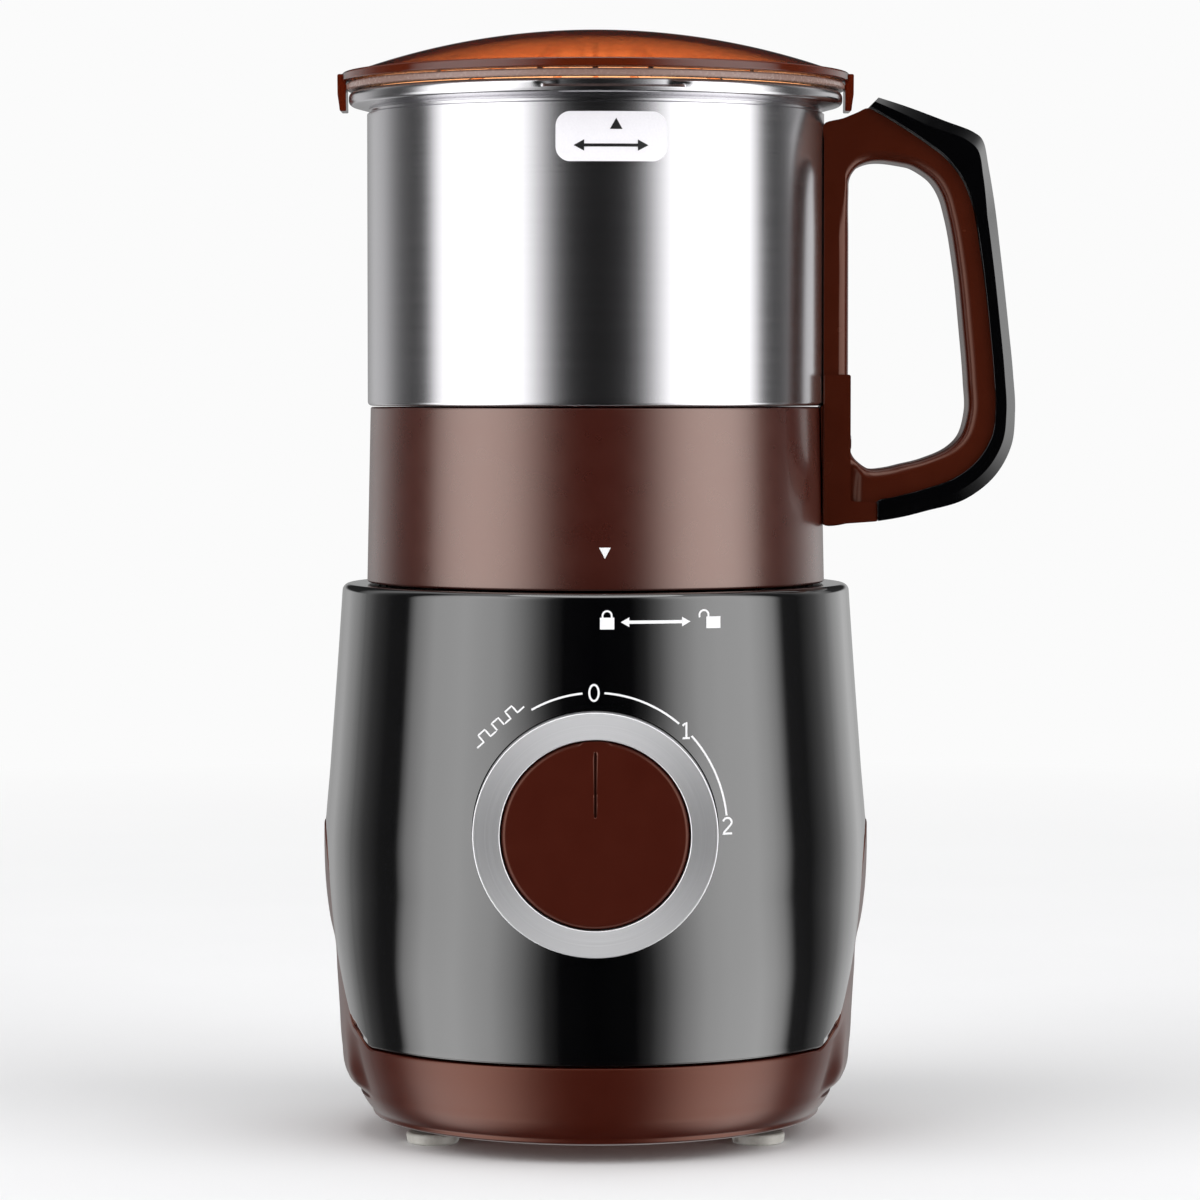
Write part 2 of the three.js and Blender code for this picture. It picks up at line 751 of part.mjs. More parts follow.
function couplings() {
  const bore = motorShaftRadius + clearance;
  const pitch = 360 / couplingTeeth;
  const tooth = (low, high, middle) =>
    sector(fanHubRadius, couplingRadius, low, high, middle, couplingToothDegrees);
  const lowerTeeth = copies(couplingTeeth, (i, turn) => tooth(lowerToothZ - clearance, meshTopZ, turn));
  const lower = solid(ring(bore, couplingRadius, lowerCouplingZ, lowerToothZ));
  piece("lower_coupling", all([lower, ...lowerTeeth]), paints.rubber);
  const upperTeeth = copies(couplingTeeth, (i, turn) =>
    tooth(lowerToothZ + couplingToothGap, upperCouplingZ + clearance, turn + pitch / 2),
  );
  const upper = solid(
    ring(bladeShaftRadius + clearance, couplingRadius, upperCouplingZ, upperCouplingZ + couplingBody),
  );
  piece("upper_coupling", all([upper, ...upperTeeth]), paints.rubber);
}

function dialParts() {
  const back = dialFrontY + bezelDepth;
  const inner = knobRadius + clearance;
  const rimBack = dialFrontY + bezelDepth - bezelFloor;
  const section = turned([
    [spindleRadius + clearance, rimBack],
    [inner, rimBack],
    [inner, dialFrontY + bezelChamfer],
    [inner + bezelChamfer, dialFrontY],
    [bezelRadius - bezelChamfer, dialFrontY],
    [bezelRadius, dialFrontY + bezelChamfer],
    [bezelRadius, back],
    [spindleRadius + clearance, back],
  ], shellSteps);
  piece("dial_bezel", solid(alongY(section).translate(0, 0, dialHeight)), paints.satin);

  const face = dialFrontY;
  const knobBack = rimBack - clearance;
  const body = solid(
    alongY(
      turned([
        [0, face],
        [knobRadius - knobShoulder, face],
        [knobRadius - knobShoulder / 4, face + knobShoulder / 3],
        [knobRadius, face + knobShoulder],
        [knobRadius, Math.min(face + knobDepth, knobBack)],
        [0, Math.min(face + knobDepth, knobBack)],
      ], shellSteps),
    ).translate(0, 0, dialHeight),
  );
  const grooveTop = dialHeight + knobRadius - knobGrooveInset;
  const groove = block(
    [-knobGrooveWidth / 2, face - overrun, grooveTop - knobGrooveLength],
    [knobGrooveWidth / 2, face + knobGrooveDepth, grooveTop],
  );
  const socketBack = face + knobDepth + overrun;
  const socket = alongY(
    disc(spindleRadius + clearance, face + knobDepth - spindleSink, socketBack, smallSteps),
  ).translate(0, 0, dialHeight);
  piece("knob", body.subtract(solid(groove)).subtract(solid(socket)), paints.brown);

  const spindleFront = face + knobDepth - spindleSink + clearance;
  const spindle = alongY(disc(spindleRadius, spindleFront, back + spindleReach, smallSteps));
  piece("knob_spindle", solid(spindle.translate(0, 0, dialHeight)), paints.nylon);

  const half = switchWidth / 2;
  const box = solid(
    block([-half, back + clearance, dialHeight - half], [half, back + switchDepth, dialHeight + half]),
  );
  const room = alongY(
    disc(spindleRadius + clearance, back - overrun, back + spindleReach + clearance, smallSteps),
  ).translate(0, 0, dialHeight);
  piece("rotary_switch", box.subtract(solid(room)), paints.white);
}

function boardAndInlet() {
  const low = motorCentre - boardHeight / 2 + 2 * clearance;
  const boardBack = boardPlace + boardThickness;
  const board = solid(
    block([-boardWidth / 2, boardPlace, low], [boardWidth / 2, boardBack, low + boardHeight]),
  );
  const part = solid(
    block(
      [-boardPartWidth / 2, boardPlace - boardPartDepth, low + boardPartHeight / 2],
      [boardPartWidth / 2, boardPlace + boardThickness / 2, low + boardPartHeight / 2 + boardPartHeight],
    ),
  );
  piece("circuit_board", board.add(part), paints.board);

  const flangeBack = panTopRadius + clearance;
  const flangeFront = flangeBack + glandFlange;
  const barrel = solid(
    alongY(disc(glandRadius, flangeBack - glandDepth, flangeFront, roundSteps)).translate(0, 0, glandHeight),
  );
  // The flange is seated on the pan's curve.
  const besidePan = solid(turned([[0, 0], ...panCurve(-clearance), [0, seamZ + overrun]], shellSteps));
  const collar = solid(
    alongY(disc(glandFlangeRadius, flangeBack - glandDepth, flangeFront, roundSteps)).translate(0, 0, glandHeight),
  );
  const flange = collar.subtract(besidePan);
  const slot = block(
    [-glandSlotWidth / 2, flangeBack - glandDepth - overrun, glandHeight - glandSlotHeight / 2],
    [glandSlotWidth / 2, flangeFront + overrun, glandHeight + glandSlotHeight / 2],
  );
  piece("cord_gland", barrel.add(flange).subtract(solid(slot)), paints.rubber);
}

function feetAndScrews() {
  for (const [name, x, y] of feetPlaces) {
    const pad = disc(footRadius, 0, footHeight - clearance);
    const stem = disc(footStemRadius, 0, panInsideZ, smallSteps);
    const foot = solid(pad.translate(x, y, 0)).add(solid(stem.translate(x, y, 0)));
    piece("foot_" + name, foot, paints.clearRubber);
  }
  const headLow = panInsideZ;
  copies(bossCount, (i, turn) => {
    const head = disc(screwHeadRadius, headLow, headLow + screwHeadHeight, smallSteps);
    const shank = disc(screwRadius, headLow, seamZ + seamGap + screwReach - clearance, smallSteps);
    const screw = solid(head.translate(...bossPlace(turn))).add(solid(shank.translate(...bossPlace(turn))));
    piece("housing_screw_" + (i + 1), screw, paints.steel);
  });
}

function lockingCollar() {
  const low = deckZ + clearance;
  const lugs = copies(lugCount, (i, turn) =>
    sector(
      collarRadius - collarWall / 2,
      collarRadius + collarLug,
      low + collarHeight - collarLugHeight,
      low + collarHeight,
      turn - 90,
      lugDegrees,
    ),
  );
  const wall = solid(ring(collarRadius - collarWall, collarRadius, low, low + collarHeight, shellSteps));
  piece("locking_collar", all([wall, ...lugs]), paints.black);
}

function cupSkirt() {
  const plateZ = skirtTopZ - skirtPlate;
  const hole = housingBodyRadius + clearance;
  const shell = solid(
    turned([
      [hole, plateZ],
      [skirtTopRadius - skirtWall, plateZ],
      [skirtBottomRadius - skirtWall, skirtZ],
      [skirtBottomRadius, skirtZ],
      [skirtTopRadius, skirtTopZ],
      [hole, skirtTopZ],
    ], shellSteps),
  );
  const ringInner = collarRadius + collarLug + skirtLug + 2 * clearance;
  const lugLow = skirtZ + clearance;
  const socket = solid(
    ring(ringInner, ringInner + skirtRingWall, lugLow, plateZ + skirtPlate / 2, shellSteps),
  );
  const lugs = copies(lugCount, (i, turn) =>
    sector(
      ringInner - skirtLug,
      ringInner + skirtRingWall / 2,
      lugLow,
      lugLow + collarLugHeight,
      turn - 90,
      lugDegrees,
    ),
  );
  const holes = handleScrewLevels.map((z) =>
    solid(alongX(screwRadius + clearance, skirtBottomRadius / 2, 2 * skirtBottomRadius, z)),
  );
  return shell.add(socket).add(all(lugs)).subtract(all(holes));
}

function steelCup() {
  const hole = housingBodyRadius + clearance;
  const inside = cupRadius - cupWall;
  const bend = cupCorner * (1 - Math.SQRT1_2);
  const shell = solid(
    turned([
      [hole, cupZ],
      [cupRadius - cupCorner, cupZ],
      [cupRadius - bend, cupZ + bend],
      [cupRadius, cupZ + cupCorner],
      [cupRadius, rimZ - rimFlare],
      [cupRadius + (rimRadius - cupRadius) / 3, rimZ - rimFlare / 4],
      [rimRadius, rimZ],
      [rimRadius, rimTopZ],
      [inside + rimInset, rimTopZ],
      [inside, rimTopZ - rimFlare],
      [inside, cupFloorZ + cupCorner - cupWall],
      [inside - bend + cupWall / 4, cupFloorZ + bend],
      [inside - cupCorner + cupWall, cupFloorZ],
      [hole, cupFloorZ],
    ], shellSteps),
  );
  const notch = block(
    [notchPlace - notchWidth / 2, -rimRadius - overrun, rimZ - overrun],
    [notchPlace + notchWidth / 2, -rimRadius + notchDepth, rimTopZ + overrun],
  );
  return shell.subtract(solid(notch));
}

// The blade bearing, held in the cup floor by a ring nut.
const gasketZ = cupFloorZ + clearance;
const flangeZ = gasketZ + gasketThickness + clearance;
const flangeTopZ = flangeZ + housingFlange;
const housingLowZ = cupZ - housingDrop;
const lowerBladeZ = flangeTopZ + clearance + sealHeight + clearance;
const upperBladeZ = lowerBladeZ + bladeThickness + clearance;
const bladeNutZ = upperBladeZ + bladeThickness + clearance;

function bearingParts() {
  const bushOuter = bladeShaftRadius + runningGap + bushWall;
  const bore = bushOuter + clearance;
  const body = solid(
    turned([
      [bore, housingLowZ],
      [housingBodyRadius, housingLowZ],
      [housingBodyRadius, flangeZ],
      [housingFlangeRadius, flangeZ],
      [housingFlangeRadius, flangeZ + housingFlange / 3],
      [bore + housingFlange, flangeTopZ],
      [bore, flangeTopZ],
    ]),
  );
  piece("bearing_housing", body, paints.satin);
  const outside = housingBodyRadius + clearance;
  const gasket = solid(ring(outside, housingFlangeRadius, gasketZ, gasketZ + gasketThickness));
  piece("cup_gasket", gasket, paints.rubber);
  const nutTop = skirtTopZ - skirtPlate - clearance;
  piece("ring_nut", solid(ring(outside, ringNutRadius, nutTop - ringNutHeight, nutTop)), paints.steel);
  const bush = (low) => solid(ring(bladeShaftRadius + runningGap, bushOuter, low, low + bushHeight));
  piece("lower_bush", bush(housingLowZ), paints.copper);
  piece("upper_bush", bush(flangeTopZ - bushHeight), paints.copper);
  const sealZ = flangeTopZ + clearance;
  const inner = bladeShaftRadius + runningGap;
  piece("shaft_seal", solid(ring(inner, sealRadius, sealZ, sealZ + sealHeight)), paints.rubber);
}

// A flat blade with raised tips, seen along its width.
function blade(low, rise, turn) {
  const tipZ = low + rise;
  const under = [[-bladeHalfLength, tipZ], [-bladeFlat, low], [bladeFlat, low], [bladeHalfLength, tipZ]];
  const over = under.map(([x, z]) => [x, z + bladeThickness]).reverse();
  const bar = upright([...under, ...over], -bladeWidth / 2, bladeWidth / 2);
  const tip = bladeWidth / 4;
  const plan = raised([
    [-bladeHalfLength - overrun, tip - bladeWidth / 2],
    [-bladeFlat, -bladeWidth / 2],
    [bladeHalfLength + overrun, -bladeWidth / 2],
    [bladeHalfLength + overrun, bladeWidth / 2 - tip],
    [bladeFlat, bladeWidth / 2],
    [-bladeHalfLength - overrun, bladeWidth / 2],
  ], low - overrun, low + rise + bladeThickness + overrun);
  const bore = disc(bladeShaftRadius + clearance, low - overrun, low + bladeThickness + overrun);
  const cut = solid(bar).intersect(solid(plan)).subtract(solid(bore));
  return solid(aboutZ(meshGeometry(cut), turn));
}

function bladeParts() {
  const shaftTop = bladeNutZ + bladeNutHeight / 2;
  piece("blade_shaft", solid(disc(bladeShaftRadius, upperCouplingZ + clearance, shaftTop)), paints.steel);
  piece("lower_blade", blade(lowerBladeZ, lowerBladeRise, 0), paints.steel);
  piece("upper_blade", blade(upperBladeZ, upperBladeRise, 90), paints.steel);
  const cap = solid(
    turned([
      [0, bladeNutZ],
      [bladeNutRadius, bladeNutZ],
      [bladeNutRadius, bladeNutZ + bladeNutHeight],
      [bladeNutRadius / 2, bladeNutZ + bladeNutHeight + bladeThickness],
      [0, bladeNutZ + bladeNutHeight + bladeThickness],
    ], bladeNutSides),
  );
  const bore = disc(bladeShaftRadius + clearance, bladeNutZ - overrun, shaftTop + clearance);
  piece("blade_nut", cap.subtract(solid(bore)), paints.steel);
}

// Outer edge of the handle, as shares of its width beyond the cup and of its height.
const handleShares = [[0.27, 0.99], [0.31, 1], [0.84, 0.915], [0.91, 0.73], [0.96, 0.54], [0.985, 0.4],
  [1, 0.27], [0.985, 0.215], [0.945, 0.165], [0.85, 0.1], [0.7, 0.055], [0.52, 0.034], [0.28, 0.014], [0, 0]];
// The finger gap, as shares of its own width and height.
const gapShares = [[0, 0.93], [0.07, 0.985], [0.22, 1], [0.5, 0.985], [0.72, 0.93], [0.85, 0.8], [0.93, 0.62],
  [0.99, 0.4], [1, 0.22], [0.95, 0.11], [0.82, 0.06], [0.5, 0.02], [0.2, 0], [0.06, 0.03], [0, 0.12]];

const cupSide = cupRadius + clearance;
const handleSpan = handleReach - cupSide;
const handleHeight = handleTopZ - handleBottomZ;
const handleInnerTop = hookZ - clearance - runningGap;
const handleScrewZ = handleBottomZ + handleScrewLow;
const handleScrewLevels = [handleScrewZ, handleScrewZ + handleScrewPitch];

const outerEdge = () => {
  const [first, ...rest] = handleShares.map(([x, z]) => [
    cupSide + handleSpan * x,
    handleBottomZ + handleHeight * z,
  ]);
  return [first, ...smooth(rest, 3 * rest.length)];
};
const hookSweep = lidFlangeRadius + hookThickness + overrun / 2;

function fingerGap(grow) {
  const left = cupSide + handleColumn;
  const right = handleReach - handleFrameEdge - gripThickness;
  const low = handleBottomZ + handleFrameEdge + gripThickness + handleFrameEdge / 3;
  const high = handleTopZ - handleTopBar - handleTopStep;
  const points = gapShares.map(([x, z]) => [left + (right - left) * x, low + (high - low) * z]);
  return shifted(smooth([...points, points[0]], 2 * points.length), grow).slice(0, -1);
}

// The line where the grip meets the frame, as shares of the handle's width and height.
const gripShares = [[0.15, 1.02], [0.265, 0.979], [0.402, 0.941], [0.552, 0.9], [0.663, 0.855], [0.741, 0.8],
  [0.785, 0.74], [0.826, 0.627], [0.863, 0.467], [0.891, 0.352], [0.896, 0.265], [0.874, 0.209],
  [0.804, 0.159], [0.678, 0.115], [0.515, 0.089], [0.339, 0.068], [0.15, 0.045]];
const gripLine = (inset) => {
  const line = gripShares.map(([x, z]) => [cupSide + handleSpan * x, handleBottomZ + handleHeight * z]);
  return [...shifted(smooth(line, 2 * line.length), -inset), [0, handleBottomZ], [0, handleTopZ + overrun]];
};

function roundedBar(points, halfWidth, round) {
  const shape = new THREE.Shape(points.map(([x, z]) => new THREE.Vector2(x, z)));
  const bar = new THREE.ExtrudeGeometry(shape, {
    depth: 2 * (halfWidth - round),
    bevelEnabled: true,
    bevelThickness: round,
    bevelSize: round,
    bevelOffset: -round,
    bevelSegments: 2,
  });
  return bar.rotateX(Math.PI / 2).translate(0, halfWidth - round, 0);
}

function handleParts() {
  const whole = [...outerEdge(), [0, handleBottomZ], [0, handleTopZ]];
  const bar = solid(roundedBar(whole, handleWidth / 2, handleEdgeRound));
  const gap = solid(upright(fingerGap(0), -handleWidth, handleWidth));
  const cupRoom = solid(
    turned([
      [0, 0],
      [cupSide, 0],
      [cupSide, rimZ - rimFlare - clearance],
      [rimRadius + clearance, rimZ - clearance],
      [rimRadius + clearance, handleTopZ + overrun],
      [0, handleTopZ + overrun],
    ], shellSteps),
  );
  const lowRoom = solid(
    turned([
      [0, skirtZ - overrun],
      [skirtBottomRadius + clearance, skirtZ - overrun],
      [skirtTopRadius + clearance, skirtTopZ],
      [0, skirtTopZ],
    ], shellSteps),
  );
  const topRoom = solid(
    block([0, -handleWidth, handleInnerTop], [hookSweep, handleWidth, handleTopZ + overrun]),
  );
  const loop = bar.subtract(gap).subtract(cupRoom.add(lowRoom)).subtract(topRoom);
  const within = (inset) => solid(upright(gripLine(inset), -handleWidth, handleWidth));
  const top = handleTopZ + overrun;
  const reach = block([gripInnerReach, -handleWidth, 0], [handleReach + overrun, handleWidth, top]);
  const skin = loop.subtract(within(0)).intersect(solid(reach));
  const besideGrip = block([0, -handleWidth, 0], [gripInnerReach - clearance, handleWidth, top]);
  const frame = loop.intersect(within(clearance).add(solid(besideGrip)));
  const roomEnd = skirtBottomRadius + handleScrewReach;
  const screwRooms = handleScrewLevels.map((z) => solid(alongX(screwRadius + clearance, 0, roomEnd, z)));
  piece("handle_frame", frame.subtract(all(screwRooms)), paints.brown);
  piece("handle_grip", skin, paints.black);
  handleScrewLevels.forEach((z, i) => {
    const tip = roomEnd - clearance - runningGap;
    const seat = skirtTopRadius - skirtWall - clearance;
    const headBack = seat - screwHeadHeight;
    const shank = solid(alongX(screwRadius, headBack, tip, z));
    const head = solid(alongX(screwHeadRadius, headBack, seat, z));
    piece("handle_screw_" + (i + 1), shank.add(head), paints.steel);
  });
}

function lidParts() {
  const sealInner = lidSealRadius - lidSealWidth;
  const seal = solid(ring(sealInner, lidSealRadius, lidSealZ, lidSealZ + lidSealHeight, shellSteps));
  piece("lid_seal", seal, paints.clearRubber);

  const sphere = (lidDomeRadius ** 2 + lidDomeRise ** 2) / (2 * lidDomeRise);
  const capAngle = Math.asin(lidDomeRadius / sphere);
  const cap = (drop) =>
    Array.from({ length: domeSteps + 1 }, (_, i) => {
      const angle = capAngle * (1 - i / domeSteps);
      const height = lidDomeZ + lidDomeRise - sphere + sphere * Math.cos(angle) - drop;
      return [i === domeSteps ? 0 : sphere * Math.sin(angle), height];
    });
  const outer = solid(
    turned([[0, lidZ], [lidFlangeRadius, lidZ], [lidFlangeRadius, lidDomeZ], ...cap(0)], shellSteps),
  );
  const under = (drop) =>
    solid(
      turned([
        [0, lidZ - overrun],
        [lidDomeRadius - lidWall, lidZ - overrun],
        ...cap(drop).map(([r, z]) => [Math.min(r, lidDomeRadius - lidWall), z]),
      ], shellSteps),
    );
  const shell = outer.subtract(under(lidWall));
  const ribTop = lidDomeZ + lidDomeRise;
  const ribs = copies(lidRibGroups, (i, turn) =>
    all(
      [-lidRibSpread, 0, lidRibSpread].map((side) => {
        const rib = block([lidRibInner, -lidRibWidth / 2, lidZ], [lidRibOuter, lidRibWidth / 2, ribTop]);
        return solid(aboutZ(rib, turn + side - 90));
      }),
    ),
  );
  const ribbed = all(ribs).intersect(outer).subtract(under(lidWall + lidRibDepth));
  const hookInner = rimRadius + clearance;
  const hookOuter = hookInner + hookThickness;
  const hookOutline = [[hookInner, lidDomeZ], [hookInner, hookZ], [hookInner + hookToe, hookZ],
    [hookInner + hookToe, hookZ + hookThickness], [hookOuter, lidZ - hookThickness], [hookOuter, lidDomeZ]];
  const hooks = [-1, 1].map((side) =>
    solid(upright(hookOutline.map(([x, z]) => [side * x, z]), -hookWidth / 2, hookWidth / 2)),
  );
  const sealRoom = solid(disc(lidSealRadius + clearance, hookZ - overrun, lidZ, shellSteps));
  const rimRoom = solid(disc(hookInner, hookZ - overrun, rimTopZ, shellSteps));
  piece("lid", all([shell, ribbed, ...hooks]).subtract(sealRoom.add(rimRoom)), paints.amber);
}

piece("lower_housing", lowerHousing(), paints.brown);
piece("upper_housing", upperHousing(), paints.black);
feetAndScrews();
lockingCollar();
dialParts();
motorParts();
couplings();
boardAndInlet();
piece("cup_skirt", cupSkirt(), paints.brown);
piece("steel_cup", steelCup(), paints.steel);
bearingParts();
bladeParts();
handleParts();
lidParts();

// The part's origin is the middle of its footprint, on the surface that it stands on.
const backReach = bellyRadius;
pieces.position.set((bellyRadius + wingProud - handleReach) / 2, -(backReach + dialFrontY) / 2, 0);

export default pieces;
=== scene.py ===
import json
import math
import bmesh
import bpy
import numpy as np
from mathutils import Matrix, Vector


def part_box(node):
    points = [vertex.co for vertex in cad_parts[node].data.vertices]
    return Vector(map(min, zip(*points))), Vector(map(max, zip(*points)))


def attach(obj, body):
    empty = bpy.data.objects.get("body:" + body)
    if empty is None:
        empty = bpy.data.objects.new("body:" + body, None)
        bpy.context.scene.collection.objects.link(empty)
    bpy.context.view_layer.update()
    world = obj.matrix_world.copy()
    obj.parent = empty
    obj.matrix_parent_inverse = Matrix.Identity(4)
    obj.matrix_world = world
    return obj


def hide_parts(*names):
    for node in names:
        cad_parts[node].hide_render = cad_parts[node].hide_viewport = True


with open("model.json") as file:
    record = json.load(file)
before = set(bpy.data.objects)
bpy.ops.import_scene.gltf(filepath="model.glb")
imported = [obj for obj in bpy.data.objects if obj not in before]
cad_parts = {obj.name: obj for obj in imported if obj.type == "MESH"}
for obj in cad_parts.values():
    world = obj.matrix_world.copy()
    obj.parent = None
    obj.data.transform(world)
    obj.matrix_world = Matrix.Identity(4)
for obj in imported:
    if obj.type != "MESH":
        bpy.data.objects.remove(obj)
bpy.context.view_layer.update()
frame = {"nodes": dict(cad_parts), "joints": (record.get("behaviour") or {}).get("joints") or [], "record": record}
nodes = frame["nodes"]
joints = {joint["name"]: joint for joint in frame["joints"]}
mm = 0.001
axisX, axisY, _ = joints["motor_spin"]["pos_m"]  # the cup and motor axis
dialZ = joints["knob_turn"]["pos_m"][2] / mm  # the dial's centre
photoSize = 1200  # the photograph's width and height in pixels
print("frame loaded")


def heightsOf(node):  # lowest and highest level of a CAD node, in mm
    low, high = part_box(node)
    return low.z / mm, high.z / mm


# shapes, all in mm about the upright axis of the grinder

def rounded(corners, steps=6, closed=True):
    # a polygon of (x, y, radius) with each corner swept as an arc of that radius, or a smaller one where its
    # sides are short
    runs = []
    count = len(corners)
    for k, (x, y, radius) in enumerate(corners):
        point = np.array([x, y], float)
        atEnd = not closed and k in (0, count - 1)
        if radius == 0 or atEnd:
            runs.append(point[None])
            continue
        before = np.array(corners[k - 1][:2], float) - point
        after = np.array(corners[(k + 1) % count][:2], float) - point
        reachBefore, reachAfter = np.linalg.norm(before), np.linalg.norm(after)
        before, after = before / reachBefore, after / reachAfter
        half = math.acos(np.clip(before @ after, -1, 1)) / 2
        if half > math.pi / 2 - 0.01:
            runs.append(point[None])
            continue
        reach = min(radius / math.tan(half), 0.49 * reachBefore, 0.49 * reachAfter)
        centre = point + (before + after) / np.linalg.norm(before + after) * reach / math.cos(half)
        sweep = math.pi - 2 * half
        t = np.linspace(0, 1, steps + 1)[:, None]
        start, end = point + before * reach - centre, point + after * reach - centre
        runs.append(centre + (np.sin((1 - t) * sweep) * start + np.sin(t * sweep) * end) / math.sin(sweep))
    return np.concatenate(runs)


def through(x, knots, values):
    # a smooth function of x through chosen knots: between two of them, the cubic that meets both values with
    # the slopes that the neighbouring knots give
    knots, values = np.asarray(knots, float), np.asarray(values, float)
    slope = np.gradient(values, knots)
    k = np.clip(np.searchsorted(knots, x) - 1, 0, len(knots) - 2)
    width = knots[k + 1] - knots[k]
    t = np.clip((x - knots[k]) / width, 0, 1)
    rise = values[k] * (1 + 2 * t) * (1 - t) ** 2 + values[k + 1] * t * t * (3 - 2 * t)
    return rise + slope[k] * width * t * (1 - t) ** 2 + slope[k + 1] * width * t * t * (t - 1)


def spline(points, count, closed):
    # a smooth curve through the points: each coordinate is such a cubic of the distance run so far
    p = np.asarray(points, float)
    if closed:
        p = np.vstack([p[-3:], p, p[:4]])
    run = np.concatenate([[0], np.cumsum(np.linalg.norm(np.diff(p, axis=0), axis=1))])
    start, end = (run[3], run[-4]) if closed else (run[0], run[-1])
    t = np.linspace(start, end, count, endpoint=not closed)
    return np.stack([through(t, run, column) for column in p.T], -1)


def easeIn(value, low, high):  # 0 below low, 1 above high, smooth between
    t = np.clip((value - low) / (high - low), 0, 1)
    return t * t * (3 - 2 * t)


def inScene(name, data):
    made = bpy.data.objects.new(name, data)
    bpy.context.scene.collection.objects.link(made)
    return made


def weld(mesh, near, thin, outwards=False):
    # points nearer than the first length in m are joined, slivers under the second go, normals turn outwards
    work = bmesh.new()
    work.from_mesh(mesh)
    bmesh.ops.remove_doubles(work, verts=work.verts, dist=near)
    bmesh.ops.dissolve_degenerate(work, edges=work.edges, dist=thin)
    if outwards:
        bmesh.ops.recalc_face_normals(work, faces=work.faces)
    work.to_mesh(mesh)
    work.free()


def gridPiece(name, points, wrapRows=False, wrapCols=False, capEnds=False):
    # a grid of points in mm about the axis: quads between neighbours, joined round where it wraps, and its
    # first and last rows closed where asked
    rows, cols = points.shape[:2]
    i, j = np.meshgrid(np.arange(rows - (not wrapRows)), np.arange(cols - (not wrapCols)), indexing="ij")
    nextI, nextJ = (i + 1) % rows, (j + 1) % cols
    corners = [i * cols + j, nextI * cols + j, nextI * cols + nextJ, i * cols + nextJ]
    faces = np.stack(corners, -1).reshape(-1, 4).tolist()
    if capEnds:
        faces += [list(range(cols)), list(range((rows - 1) * cols, rows * cols))]
    mesh = bpy.data.meshes.new(name)
    mesh.from_pydata((points.reshape(-1, 3) * mm + [axisX, axisY, 0]).tolist(), [], faces)
    piece = inScene(name, mesh)
    weld(mesh, 2e-6, 1e-7, outwards=True)
    smoothSharp(piece)
    return piece


def barPiece(name, rows):  # a bar of stacked outlines, closed at both ends
    return gridPiece(name, rows, wrapCols=True, capEnds=True)


def smoothSharp(piece, degrees=38):
    mesh = piece.data
    mesh.polygons.foreach_set("use_smooth", [True] * len(mesh.polygons))
    mesh.set_sharp_from_angle(angle=math.radians(degrees))
    piece.modifiers.clear()
    flats = piece.modifiers.new("flatFaces", "WEIGHTED_NORMAL")  # large faces stay flat beside small rounds
    flats.weight, flats.keep_sharp = 100, True


def turned(profile, steps=256):
    # a section of (radius, height) carried round the upright axis: x is r cos a, y is r sin a
    angle = np.linspace(0, 2 * np.pi, steps, endpoint=False)[:, None]
    r, z = profile[None, :, 0], profile[None, :, 1]
    return np.stack([r * np.cos(angle), r * np.sin(angle), z + 0 * angle], -1)


def turnedPiece(name, profile, closed=True):
    return gridPiece(name, turned(profile), wrapRows=True, wrapCols=closed)


def facingFront(points):
    # a shape turned about the upright axis, laid over so that its height runs along +Y through the dial
    x, y, z = np.moveaxis(points, -1, 0)
    return np.stack([x, z, dialZ - y], -1)


def atDepth(outline, y):  # an outline of (x, z) stood at one depth
    return np.stack([outline[:, 0], np.full(len(outline), y), outline[:, 1]], -1)


def cut(piece, cutter):
    # the cutter is taken out of the piece
    piece.modifiers.clear()
    hole = piece.modifiers.new("cut", "BOOLEAN")
    hole.object, hole.solver, hole.operation = cutter, "EXACT", "DIFFERENCE"
    depsgraph = bpy.context.evaluated_depsgraph_get()
    made = bpy.data.meshes.new_from_object(piece.evaluated_get(depsgraph))
    piece.modifiers.clear()
    piece.data = made
    bpy.data.objects.remove(cutter)
    weld(made, 3e-5, 1e-5)
    smoothSharp(piece)


def dress(piece, body, slot, *replaced, look=None):
    # its body, its slot with that slot's finish or another look, and the CAD nodes that it stands for
    piece.data.materials.clear()
    piece.data.materials.append(finishes[look or slot])
    if replaced:
        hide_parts(*replaced)
    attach(piece, body)


# finishes

def linear(hexColour):
    # sRGB hex to linear light
    channels = [int(hexColour[i:i + 2], 16) / 255 for i in (1, 3, 5)]
    return [c / 12.92 if c <= 0.04045 else ((c + 0.055) / 1.055) ** 2.4 for c in channels] + [1]


def addNode(tree, kind, inputs=None, **settings):
    made = tree.nodes.new(kind)
    for key, value in settings.items():
        setattr(made, key, value)
    for key, value in (inputs or {}).items():
        if isinstance(value, bpy.types.NodeSocket):
            tree.links.new(value, made.inputs[key])
        else:
            made.inputs[key].default_value = value
    return made


def newMaterial(name, **constants):
    material = bpy.data.materials.new(name)
    material.use_nodes = True
    tree = material.node_tree
    tree.nodes.clear()
    shader = addNode(tree, "ShaderNodeBsdfPrincipled", {k.replace("_", " "): v for k, v in constants.items()})
    output = addNode(tree, "ShaderNodeOutputMaterial", {"Surface": shader.outputs[0]})
    return material, tree, shader, output


def noiseOn(tree, grainMm, detail=3, roughness=0.5, stretch=(1, 1, 1)):
    # a noise whose grain has a real size, on the piece's own coordinates
    coordinates = addNode(tree, "ShaderNodeTexCoord").outputs["Object"]
    mapped = addNode(tree, "ShaderNodeMapping", {"Vector": coordinates, "Scale": stretch}).outputs[0]
    return addNode(tree, "ShaderNodeTexNoise", {
        "Vector": mapped, "Scale": 1 / (grainMm * mm), "Detail": detail, "Roughness": roughness,
    }).outputs["Fac"]


